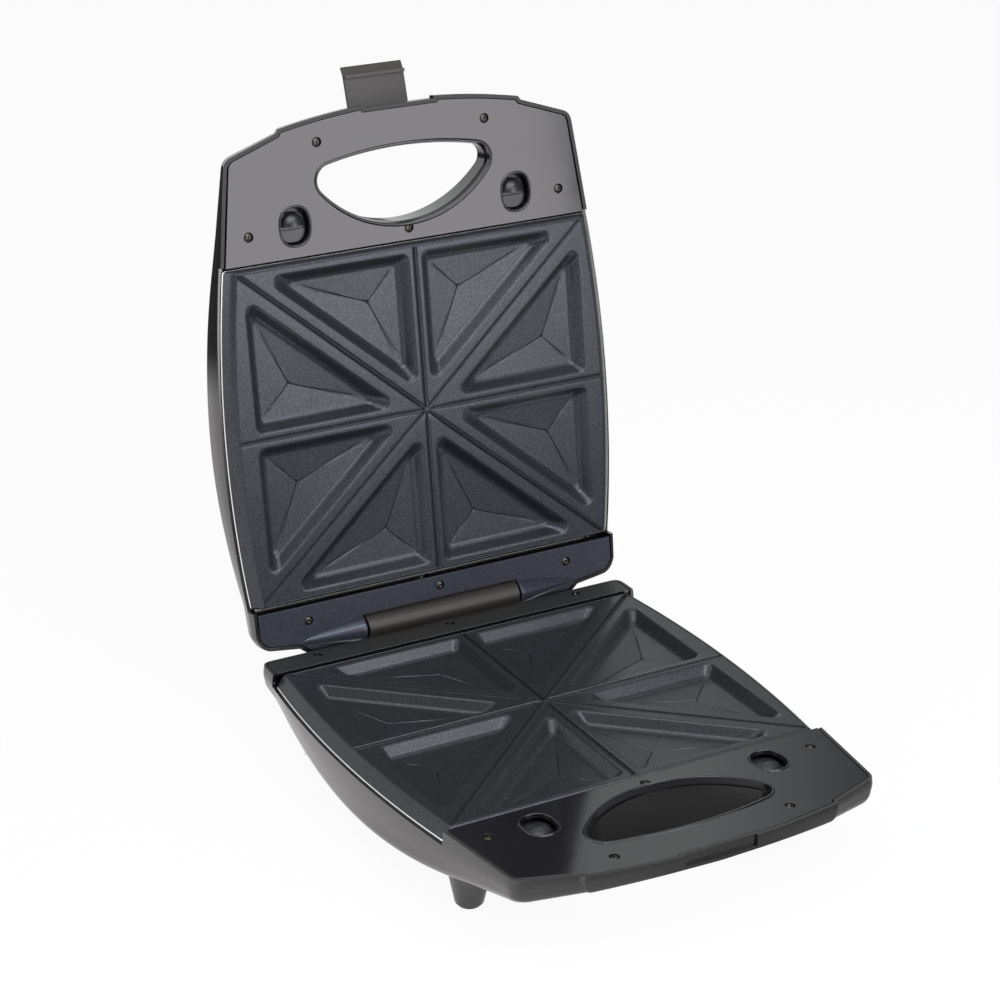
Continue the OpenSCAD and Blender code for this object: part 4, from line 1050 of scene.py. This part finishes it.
# %% Openings shared by both casings
HANDLE_SCREWS = [(-119.4, -256.4), (119.4, -256.4), (-64, -313), (64, -313), (0, -245.8)]
BASE_REAR_SCREWS = [(-103.5, 14.8), (0, 14.8), (103.5, 14.8)]
LID_REAR_SCREWS = [(-103.5, 15), (0, 11), (103.5, 15)]
HANDLE_REAR_Y = -PLATE_D - 1.5
SEAT_Z = -8.85
NOTCH_W, NOTCH_D, COLLAR_D, LEDGE, PANEL_T = 52.0, 2.6, 5.0, 1.2, 2.5
HANDLE_POST_R, REAR_POST_R, PLATE_POST_R, PLATE_POST_TOP = 2.6, 3.6, 5, -21
DEEP, HIGH, FAR_OUT = -60, 60, 200


def posts(up, rear_screws):
    """Solids that stay when the inside is hollowed: posts, tunnel and the wall behind the notch."""
    kept = [block((-NOTCH_W / 2 - WALL, FRONT_Y, DEEP), (NOTCH_W / 2 + WALL, FRONT_Y + NOTCH_D + WALL, up))]
    for radius, spots in ((HANDLE_POST_R, HANDLE_SCREWS), (REAR_POST_R, rear_screws)):
        kept += [lathe([(radius, DEEP), (radius, up - PANEL_T)], (x, y, 0), count=20) for x, y in spots]
    kept += [lathe([(PLATE_POST_R, DEEP), (PLATE_POST_R, PLATE_POST_TOP)], (x, y, 0), count=24)
             for x in (-90, 90) for y in (-40, -196)]
    kept.append(prism(lens(WALL - LEDGE), DEEP, up - COLLAR_D - 0.1))
    return kept


def side_cut(top):
    """Room for the plate and its skirt."""
    return block((-FAR_OUT, HANDLE_REAR_Y - 1, SEAT_Z), (FAR_OUT, 1.6, top))


print("posts for", len(HANDLE_SCREWS) + len(BASE_REAR_SCREWS), "screws in the lower casing")

# %% Lower casing
HOLE_FRONT_Y = HOLE_TOP_Y - HOLE_LEN
INLET_R, INLET_X, INLET_Z = 5.1, 72, -9.5
rim_front_d, rim_rear_d = base_depth(HOLE_FRONT_Y) + 2, base_depth(HOLE_TOP_Y) + 6


def tunnel_rim():
    """Rim of the finger hole's tunnel under the casing; its edge slants down towards the rear."""
    slope = (rim_rear_d - rim_front_d) / HOLE_LEN
    outline = lens(WALL - LEDGE - 0.2)
    return loft([[(x, y, -rim_front_d - slope * (y - HOLE_FRONT_Y)) for x, y in outline],
                 [(x, y, -BASE_LIP) for x, y in outline]])


inside = boolean(bowl(base_side, base_depth, BASE_UP + 2, WALL), posts(BASE_UP, BASE_REAR_SCREWS))
lower = boolean(bowl(base_side, base_depth, BASE_UP), [tunnel_rim()], "UNION")
lower = boolean(lower, [
    side_cut(25), prism(lens(-LEDGE), -70, 30),
    block((-NOTCH_W / 2, FRONT_Y - 5, -BASE_LIP + 2.2), (NOTCH_W / 2, FRONT_Y + NOTCH_D, 12)),
    lathe([(INLET_R, -5), (INLET_R, 3)], (INLET_X, BASE_REAR_Y, INLET_Z), "y"), inside])
piece("moulded_lower_casing", "base", soft_edges(lower, EDGE_ROUND), casing_abs, replaces=["base_shell"])

# %% [markdown]
# The upper casing is the same bowl with three more features: room for the hinge barrel and its
# tapered fairings, two ears that hold the latch's pin, and holes for the lamps.

# %% Upper casing
LID_HINGE_Z = PLATE_GAP - HINGE_UP
PIVOT_Y = FRONT_Y + 16
PIVOT_Z = -(lid_depth(PIVOT_Y) + 5.5)
EAR_R, EAR_T, LATCH_W, PIN_R = 4.2, 3.6, 46.0, 1.6
FAIRING_TIP, FAIRING_ROOM = 2.4, 0.6
LAMP_XS, LAMP_Y, LAMP_R = (-12, 12), -205, 4
EDGEWISE = Matrix(((0, 0, 1, 0), (1, 0, 0, 0), (0, 1, 0, 0), (0, 0, 0, 1)))
lamp_tilt = math.atan((lid_depth(LAMP_Y + 1) - lid_depth(LAMP_Y - 1)) / 2)


def hinge_room(grow, top):
    """Space for the hinge barrel."""
    return block((-KNUCKLE_LEN / 2 - KNUCKLE_GAP + 0.1 - grow, HINGE_BACK - KNUCKLE_R - 2 - grow, DEEP),
                 (KNUCKLE_LEN / 2 + KNUCKLE_GAP - 0.1 + grow, HINGE_BACK + 50, top))


def lamp_hole(x, radius, low, high):
    """Round cut for a lamp, square to the casing's outer face there."""
    hole = lathe([(radius, low), (radius, high)], (0, 0, 0), count=32)
    hole.transform(Matrix.Translation((x, LAMP_Y, -lid_depth(LAMP_Y) - CROWN))
                   @ Matrix.Rotation(lamp_tilt, 4, "X"))
    return hole


def fairing(s, profile, back=0.0, count=56):
    """Solid turned about the hinge's axis, from the barrel's end outwards to the side s."""
    cone = lathe(profile, (0, 0, 0), "x", count)
    if s < 0:
        cone.transform(Matrix.Rotation(math.pi, 4, "Z"))
    cone.transform(Matrix.Translation((s * (KNUCKLE_LEN / 2 + KNUCKLE_GAP - back), HINGE_BACK, LID_HINGE_Z)))
    return cone


fairing_space = [(KNUCKLE_R - 0.3 + FAIRING_ROOM, 0), (FAIRING_TIP + FAIRING_ROOM, FAIRING_LEN + FAIRING_ROOM)]
inside = boolean(bowl(lid_side, lid_depth, 2, WALL), posts(LID_UP, LID_REAR_SCREWS)
                 + [hinge_room(WALL, -PANEL_T)] + [lamp_hole(x, LAMP_R + 1.6, -4, 4) for x in LAMP_XS])
upper = boolean(bowl(lid_side, lid_depth, 0), [
    block((-FAR_OUT, -500, LID_UP), (FAR_OUT, HANDLE_REAR_Y, HIGH)), side_cut(HIGH), hinge_room(0, 40),
    *[fairing(s, fairing_space, FAIRING_ROOM, 40) for s in (1, -1)], prism(lens(-LEDGE), -70, 30),
    block((-NOTCH_W / 2, FRONT_Y - 5, -40), (NOTCH_W / 2, FRONT_Y + NOTCH_D, 20)),
    *[lamp_hole(x, LAMP_R + 0.1, -10, 10) for x in LAMP_XS], inside])
print("upper casing has", len(upper.polygons), "faces before its edges are rounded")

# %% The ears of the latch
ear_outline = [(PIVOT_Y + EAR_R * math.sin(a), PIVOT_Z - EAR_R * math.cos(a))
               for a in np.linspace(-math.pi / 2, math.pi / 2, 17)]
ear_outline += [(PIVOT_Y + EAR_R - 0.3, PIVOT_Z + 9), (PIVOT_Y - EAR_R + 0.3, PIVOT_Z + 9)]
ears = []
for s in (-1, 1):
    ear = rounded_plate([ear_outline, circle(PIVOT_Y, PIVOT_Z, PIN_R, 24)], EAR_T, 0.4, EAR_T / 2)
    ear.transform(Matrix.Translation((s * (LATCH_W / 2 + 2.3), 0, 0)) @ EDGEWISE)
    ears.append(ear)
piece("moulded_upper_casing", "lid", joined(soft_edges(upper, EDGE_ROUND), *ears), lid_casing_abs,
      replaces=["lid_shell"])

# %% [markdown]
# ## Covers on the casings
# The handle panels and the rear covers are flat mouldings. A 2D curve fills an outline with its
# holes and rounds every rim in one go, which keeps the face dead flat. That matters, since a
# mirror shows any bend. The finger hole gets a rolled bead and a collar, swept round its outline.

# %% Handle panels
PANEL_FIT = WALL + FIT
WELL_X, WELL_Y, WELL_RX, WELL_RY = 85.0, -PLATE_D - 23.0, 10.5, 13.0
SLIDE_Z, SLIDE_T = -8.5, 2.0
FACE_T, SEAT_T, SEAT_DOWN = 1.8, 0.8, 1.7
SINK_R, SHANK_HOLE_R = 3.3, 1.7
RAIL_X, RAIL_W, LIP_X, LIP_W, RAIL_T, WELL_D = 13, 2, 10.8, 3.4, 1.8, 2.4
WELL_RIM = [(0.0, -2.4), (0.0, 0.0), (0.12, 0.34), (0.45, 0.58), (0.9, 0.62), (1.35, 0.45), (1.7, 0.0),
            (1.7, -0.4), (0.9, -0.8), (0.9, -2.4)]
BEAD = [(0.0, -5.0), (0.0, 0.1), (0.12, 0.42), (0.42, 0.64), (0.9, 0.7), (1.5, 0.62), (1.95, 0.36),
        (2.2, 0.0), (2.2, -0.5), (1.0, -0.9), (1.0, -5.0)]


def panel_outline(stations):
    """Outline of the handle panel, with the recess behind the latch's notch."""
    half = [p for p in moved_in(stations, PANEL_FIT) if p[1] < HANDLE_REAR_Y]
    recess_x, recess_y = NOTCH_W / 2 + PANEL_FIT, FRONT_Y + NOTCH_D + PANEL_FIT
    half = [p for p in half if p[0] > recess_x + 0.5]
    half = [(recess_x, recess_y), (recess_x, half[0][1] - 0.02)] + half
    last, before = half[-1], half[-2]
    lean = (last[0] - before[0]) / (last[1] - before[1])
    half.append((last[0] + (HANDLE_REAR_Y - last[1]) * lean, HANDLE_REAR_Y))
    return half + [(-x, y) for x, y in reversed(half)]


def well(s, grow=0.0):
    """Outline of a thumb well."""
    return oval(s * WELL_X, WELL_Y, WELL_RX + grow, WELL_RY - 0.4 + grow)


def sheet_with_seat(outline, seat_outline, spots, top, holes=()):
    """A face with sinks for the screws' heads, on a thinner seat with holes for their shanks."""
    face = rounded_plate([outline, *holes, *[circle(x, y, SINK_R) for x, y in spots]], FACE_T, 0.3, top)
    seat = rounded_plate([seat_outline, *holes, *[circle(x, y, SHANK_HOLE_R, 24) for x, y in spots]],
                         SEAT_T, 0.05, top - SEAT_DOWN)
    return [face, seat]


def handle_panel(stations, up):
    """The face, the bead round the finger hole, and the wells with the catches' rails."""
    outline = panel_outline(stations)
    holes = [lens(1.0), *[well(s, 0.6) for s in (-1, 1)]]
    parts = sheet_with_seat(outline, grown(outline, -0.1), HANDLE_SCREWS, up, holes)
    parts.append(sweep(lens(0.0), [(u, up + z) for u, z in BEAD]))
    rail_top = up + SLIDE_Z - SLIDE_T - FIT
    rail_foot, rail_y = rail_top - RAIL_T, (WELL_Y - 17, WELL_Y + 12)
    for s in (-1, 1):
        parts.append(sweep(well(s), [(u, up + z) for u, z in WELL_RIM]))
        guard, outer = ([(x, y) for x, y in well(s, grow) if y < WELL_Y - 1.5] for grow in (0.0, 1.3))
        wall = sorted(guard) + sorted(outer, key=lambda p: -p[0])
        parts.append(rounded_plate([wall], -SLIDE_Z - FIT - WELL_D, 0.1, up - WELL_D))
        for e in (-1, 1):
            for across, width, top in ((RAIL_X, RAIL_W, up - WELL_D), (LIP_X, LIP_W, rail_top)):
                x = s * WELL_X + e * across
                parts.append(rounded_box((x - width / 2, rail_y[0], rail_foot),
                                         (x + width / 2, rail_y[1], top), 0.3))
        stop_y = WELL_Y - WELL_RY - 11.4
        parts.append(rounded_box((s * WELL_X - 6, stop_y - 2, rail_foot),
                                 (s * WELL_X + 6, stop_y, up - WELL_D), 0.3))
    return joined(*parts)


piece("polished_panel_lower", "base", handle_panel(base_side, BASE_UP), panel_abs,
      replaces=["base_handle_panel"])
piece("polished_panel_upper", "lid", handle_panel(lid_side, LID_UP), panel_abs,
      replaces=["lid_handle_panel"])

# %% [markdown]
# ### Thumb catches
# A catch is a slide under the panel, moved by the thumb against a spring. Its dome is a quarter of
# an ellipsoid standing on an oval pad, and its flat face, with a groove before it, is what the
# thumb pushes against.

# %% Thumb catches
PAD_TOP, DOME_TOP, DOME_RX, DOME_RY = -5.6, -1.0, 8.8, 9.0
CATCH_ROUND, PAD_MID_Y = 0.3, 1.6


def half_dome():
    """Quarter of an ellipsoid on the pad, with a rolled edge round its flat face."""
    rings = []
    for lift in np.linspace(0, math.pi / 2, 12):
        z = PAD_TOP - 0.2 + (DOME_TOP - PAD_TOP + 0.2) * math.sin(lift)
        reach = max(0.02, math.cos(lift))
        ring = [(DOME_RX * reach * math.cos(a), DOME_RY * reach * math.sin(a), z)
                for a in np.linspace(math.pi, 2 * math.pi, 33)]
        lip = 0.5 * math.sin(min(lift * 2, math.pi / 2))
        ring += [(x * 0.96, lip, z) for x, _, z in reversed(ring[::4])]
        rings.append(ring)
    return loft(rings)


def thumb_catch(s, up):
    """Slide, tongue under the plate's hook, spring stop, pad and dome of one catch."""
    under = SLIDE_Z - SLIDE_T
    slide = rounded_box((-11.6, -WELL_RY, under), (11.6, WELL_RY - 1, SLIDE_Z), CATCH_ROUND)
    tongue = rounded_box((-7, 0, under), (7, 20.8, SLIDE_Z), CATCH_ROUND)
    stop = rounded_box((-5, -WELL_RY, under - 1.6), (5, -WELL_RY + 1.6, SLIDE_Z + 3.4), CATCH_ROUND)
    pad = rounded_plate([oval(0, PAD_MID_Y, 9.9, 10.6)], PAD_TOP - SLIDE_Z + 0.1, 0.5, PAD_TOP)
    seat = [(x, y) for x, y in oval(0, PAD_MID_Y, 9.4, 10.1) if y > 2.0]
    step = rounded_plate([seat], 1.3, 0.4, PAD_TOP + 1.1)
    made = joined(slide, tongue, stop, pad, step, half_dome())
    made.transform(Matrix.Translation((s * WELL_X, WELL_Y, up)))
    return made


for half, up in (("base", BASE_UP), ("lid", LID_UP)):
    for side, s in (("left", -1), ("right", 1)):
        piece(f"{half}_thumb_catch_{side}", half, thumb_catch(s, up), catch_abs, body=f"{half}_{side}_catch",
              replaces=[f"{half}_catch_{side}"])

# %% [markdown]
# ### Covers behind the plates
# The lower casing's cover is a plain strip in the casing's own finish. The upper one is sprayed
# like the plates, has a recess for the hinge barrel, and carries two tapered fairings that hide
# the hinge pins. A fairing is a solid of revolution about the hinge's axis.

# %% Rear cover
def cover_outline(stations, front_y, cut_x=None, cut_y=None):
    """Outline of a cover behind a plate, with an optional recess for the hinge barrel."""
    half = [p for p in moved_in(stations, PANEL_FIT) if p[1] > front_y + 0.5]
    right = [(half[0][0], front_y)] + half
    if cut_x:
        right = [p for p in right if p[0] > cut_x + 0.5]
        right += [(cut_x, right[-1][1]), (cut_x, cut_y)]
    return right + [(-x, y) for x, y in reversed(right)]


rear = sheet_with_seat(cover_outline(base_side, 2.2), cover_outline(base_side, 2.3), BASE_REAR_SCREWS, BASE_UP)
piece("polished_rear_cover", "base", joined(*rear), casing_abs, replaces=["base_rear_cover"])

# %% Hinge cover with its fairings
room_x, room_y = KNUCKLE_LEN / 2 + KNUCKLE_GAP - 0.1, HINGE_BACK - KNUCKLE_R - 0.9
strip = sheet_with_seat(cover_outline(lid_side, 3.5, room_x, room_y),
                        cover_outline(lid_side, 3.6, room_x + 0.1, room_y), LID_REAR_SCREWS, 0)
FAIRING_PROFILE = [(3.02, 0.0), (8.2, 0.0), (8.8, 0.3), (9.0, 0.9), (8.75, 4.0), (7.6, 14.0),
                   (6.0, 27.0), (4.3, 39.0), (3.2, 46.0), (2.4, 49.0), (1.2, 49.9), (0.1, 50.0)]
piece("hinge_cover_with_fairings", "lid", joined(*strip, *[fairing(s, FAIRING_PROFILE) for s in (1, -1)]),
      sprayed, replaces=["lid_hinge_cover"])

# %% [markdown]
# ## Hinge barrel
# The barrel is moulded in glass-filled plastic, which stands the heat. Its ends are turned off
# with a small radius, and a block under it carries the lid's weight into the lower casing.

# %% Hinge barrel
BARREL = [(3.06, 0.0), (KNUCKLE_R - 0.9, 0.0), (KNUCKLE_R - 0.3, 0.25), (KNUCKLE_R, 0.9)]
CARRIER_FOOT, CARRIER_ROUND = -16.5, 0.6
barrel = lathe(BARREL + [(r, KNUCKLE_LEN - t) for r, t in reversed(BARREL)],
               (-KNUCKLE_LEN / 2, HINGE_BACK, HINGE_UP), "x", 96)
carrier = rounded_box((-KNUCKLE_LEN / 2, BASE_REAR_Y, CARRIER_FOOT),
                      (KNUCKLE_LEN / 2, HINGE_BACK + KNUCKLE_R, HINGE_UP), CARRIER_ROUND)
piece("hinge_barrel", "base", joined(barrel, carrier), knuckle_pbt, replaces=["hinge_knuckle"])

# %% [markdown]
# ## Latch
# The latch is one moulded strip: an eye round the pin, an arm, a hook that grips the lower
# casing's lip and a tab for the finger. Its profile is drawn once and given its width.

# %% Latch
LATCH_T, HOOK_LEN, BEND_R, TAB_LEN, TAB_LEAN, HOOK_REACH = 2.2, 2.2, 6.0, 6.0, 2.0, 16.6
latch_joint = next(j for j in frame["joints"] if j["name"] == "latch_hinge")
latch_open = math.radians(latch_joint["range_deg"][1])
HOOK_DROP = -PIVOT_Z + PLATE_GAP + BASE_LIP + 1.2


def latch_outline():
    """The latch's profile, anticlockwise, with x back from the handle's edge and y to the base."""
    front, arm = -HOOK_REACH - LATCH_T, 0.2 - EAR_R
    turn_x, turn_y = front + BEND_R, arm + BEND_R
    inside, foot = front + LATCH_T, HOOK_DROP + LATCH_T

    def arc(x, y, r, start, end, count):
        return [(x + r * math.cos(a), y + r * math.sin(a))
                for a in np.linspace(math.radians(start), math.radians(end), count)]

    return (arc(0, 0, EAR_R, -92, 152, 26) + [(-4.6, arm + LATCH_T)]
            + arc(turn_x, turn_y, BEND_R - LATCH_T, 270, 180, 8)
            + [(inside, HOOK_DROP), (inside + HOOK_LEN, HOOK_DROP), (inside + HOOK_LEN, foot), (inside, foot),
               (inside - TAB_LEAN, foot + TAB_LEN), (front - TAB_LEAN, foot + TAB_LEN), (front, foot)]
            + arc(turn_x, turn_y, BEND_R, 180, 270, 10))


latch_mesh = rounded_plate([latch_outline(), circle(0, 0, PIN_R + 0.06, 24)], LATCH_W, 0.4, LATCH_W / 2)
latch_mesh.transform(Matrix.Translation((0, PIVOT_Y, PIVOT_Z)) @ Matrix.Rotation(latch_open, 4, "X") @ EDGEWISE)
piece("moulded_latch", "lid", latch_mesh, latch_pa, body="latch", replaces=["latch"])

# %% [markdown]
# ## Legs
# Four tapered legs grow out of the belly. Each is turned with a rounded foot, trimmed by the
# casing's own shape, and hollowed for its rubber pad.

# %% Legs
LEG_XS, LEG_YS = (-119, 119), (-232, -14)
PAD_R, PAD_T = 7.5, 2.5
LEG_PROFILE = [(7.6, 1.5), (8.9, 1.55), (9.25, 1.9), (9.5, 2.6), (17.8, 43.5)]
legs = []
for x in LEG_XS:
    for y in LEG_YS:
        pad_room = lathe([(PAD_R + 0.1, -1), (PAD_R + 0.1, PAD_T)], (x, y, -STAND_H), count=64)
        legs.append(boolean(lathe(LEG_PROFILE, (x, y, -STAND_H), count=64),
                            [bowl(base_side, base_depth, BASE_UP), pad_room]))
piece("moulded_legs", "base", joined(*legs), casing_abs, replaces=["feet"])

# %% [markdown]
# ## Screws
# Sixteen equal screws repeat, so one is modelled and Geometry Nodes sets it on a cloud of points,
# each turned by its own amount, as a hand would leave them. The head is a pan with a cross recess,
# and it sits in a round sink in the panel.

# %% One screw
HEAD_R, SHANK_R, SCREW_LEN, HEAD_SEAT = 3.0, 1.45, 11.0, -1.7
# (half length, half width, height) at the cross's foot and above its mouth
CROSS = [(0.6, 0.35, -1.5), (2.1, 0.52, 0.2)]
head = lathe([(0.05, -SCREW_LEN), (SHANK_R * 0.6, -SCREW_LEN + 0.3), (SHANK_R, -SCREW_LEN + 1.6),
              (SHANK_R, HEAD_SEAT), (HEAD_R * 0.93, HEAD_SEAT), (HEAD_R, -1.45), (HEAD_R * 0.97, -1.0),
              (HEAD_R * 0.86, -0.6), (HEAD_R * 0.62, -0.36), (HEAD_R * 0.3, -0.3), (0.05, -0.29)],
             (0, 0, 0), count=40)
cross = []
for turn in (0, math.pi / 2):
    slot = loft([[(x, y, z) for x, y in corners_of((-a, -b), (a, b))] for a, b, z in CROSS])
    slot.transform(Matrix.Rotation(turn, 4, "Z"))
    cross.append(slot)
screw_mesh = boolean(head, cross)
screw_model = bpy.data.objects.new("screw_model", screw_mesh)
print("one screw has", len(screw_mesh.polygons), "faces")

# %% Geometry Nodes that set the screws
def screw_tree():
    """Node tree that sets a screw on each point and turns it by a random angle."""
    tree = bpy.data.node_groups.new("set_screws", "GeometryNodeTree")
    for name, kind in (("Geometry", "Geometry"), ("Screw", "Object"), ("Turn Seed", "Int"), ("Size", "Float"),
                       ("Finish", "Material")):
        tree.interface.new_socket(name, in_out="INPUT", socket_type="NodeSocket" + kind)
    tree.interface.new_socket("Geometry", in_out="OUTPUT", socket_type="NodeSocketGeometry")
    given = add_node(tree, "NodeGroupInput")
    model = add_node(tree, "GeometryNodeObjectInfo", {"Object": given.outputs["Screw"]})
    turn = add_node(tree, "FunctionNodeRandomValue", {"Seed": given.outputs["Turn Seed"]},
                    data_type="FLOAT_VECTOR")
    turn.inputs["Min"].default_value, turn.inputs["Max"].default_value = (0, 0, 0), (0, 0, math.pi)
    points = add_node(tree, "GeometryNodeMeshToPoints", {"Mesh": given.outputs["Geometry"]})
    placed = add_node(tree, "GeometryNodeInstanceOnPoints", {
        "Points": points.outputs[0], "Instance": model.outputs["Geometry"], "Rotation": turn.outputs[0],
        "Scale": given.outputs["Size"]})
    real = add_node(tree, "GeometryNodeRealizeInstances", {"Geometry": placed.outputs[0]})
    done = add_node(tree, "GeometryNodeSetMaterial", {"Geometry": real.outputs[0],
                                                      "Material": given.outputs["Finish"]})
    add_node(tree, "NodeGroupOutput", {"Geometry": done.outputs[0]})
    return tree


set_screws = screw_tree()
print("screw tree has", len(set_screws.nodes), "nodes")


# %% Set the screws
def screws(name, half, spots, up, seed, node):
    """Screws of one half at their places."""
    holder = add_object("spots", mesh_of([(x, y, up) for x, y in spots], []))
    step = holder.modifiers.new("screws", "NODES")
    step.node_group = set_screws
    given = {"Screw": screw_model, "Turn Seed": seed, "Size": 1.0, "Finish": black_zinc}
    for item in set_screws.interface.items_tree:
        if item.in_out == "INPUT" and item.name in given:
            step[item.identifier] = given[item.name]
    piece(name, half, applied(holder), black_zinc, replaces=[node])


screws("handle_screws_lower", "base", HANDLE_SCREWS, BASE_UP, 3, "base_panel_screws")
screws("rear_screws_lower", "base", BASE_REAR_SCREWS, BASE_UP, 5, "base_rear_screws")
screws("handle_screws_upper", "lid", HANDLE_SCREWS, LID_UP, 8, "lid_panel_screws")
screws("rear_screws_upper", "lid", LID_REAR_SCREWS, 0.0, 11, "lid_rear_screws")

# %% [markdown]
# ## The pieces that stay as the model has them
# Springs, trays, elements, pins, pads, lenses and the electrical pieces are already true to shape.
# Each gets its finish on its own material slot, and its mesh is left alone.

# %% Finish the carried pieces
CARRIED = {"thermostat": steatite, "thermal_fuse": aluminised, "terminal_block": white_nylon,
           "cord_inlet_bush": rubber, "foot_pads": rubber, "hinge_pins": ground_steel,
           "latch_pin": ground_steel, "power_lamp_lens": red_pc, "ready_lamp_lens": green_pc}
for half in ("base", "lid"):
    CARRIED |= {f"{half}_spring_left": spring_wire, f"{half}_spring_right": spring_wire,
                f"{half}_heat_tray": aluminised, f"{half}_heater": sheath_steel}
for name, material in CARRIED.items():
    item = nodes[name]
    if item.material_slots:
        for place in item.material_slots:
            place.material = material
    else:
        item.data.materials.append(material)
print(len(CARRIED), "carried pieces finished")
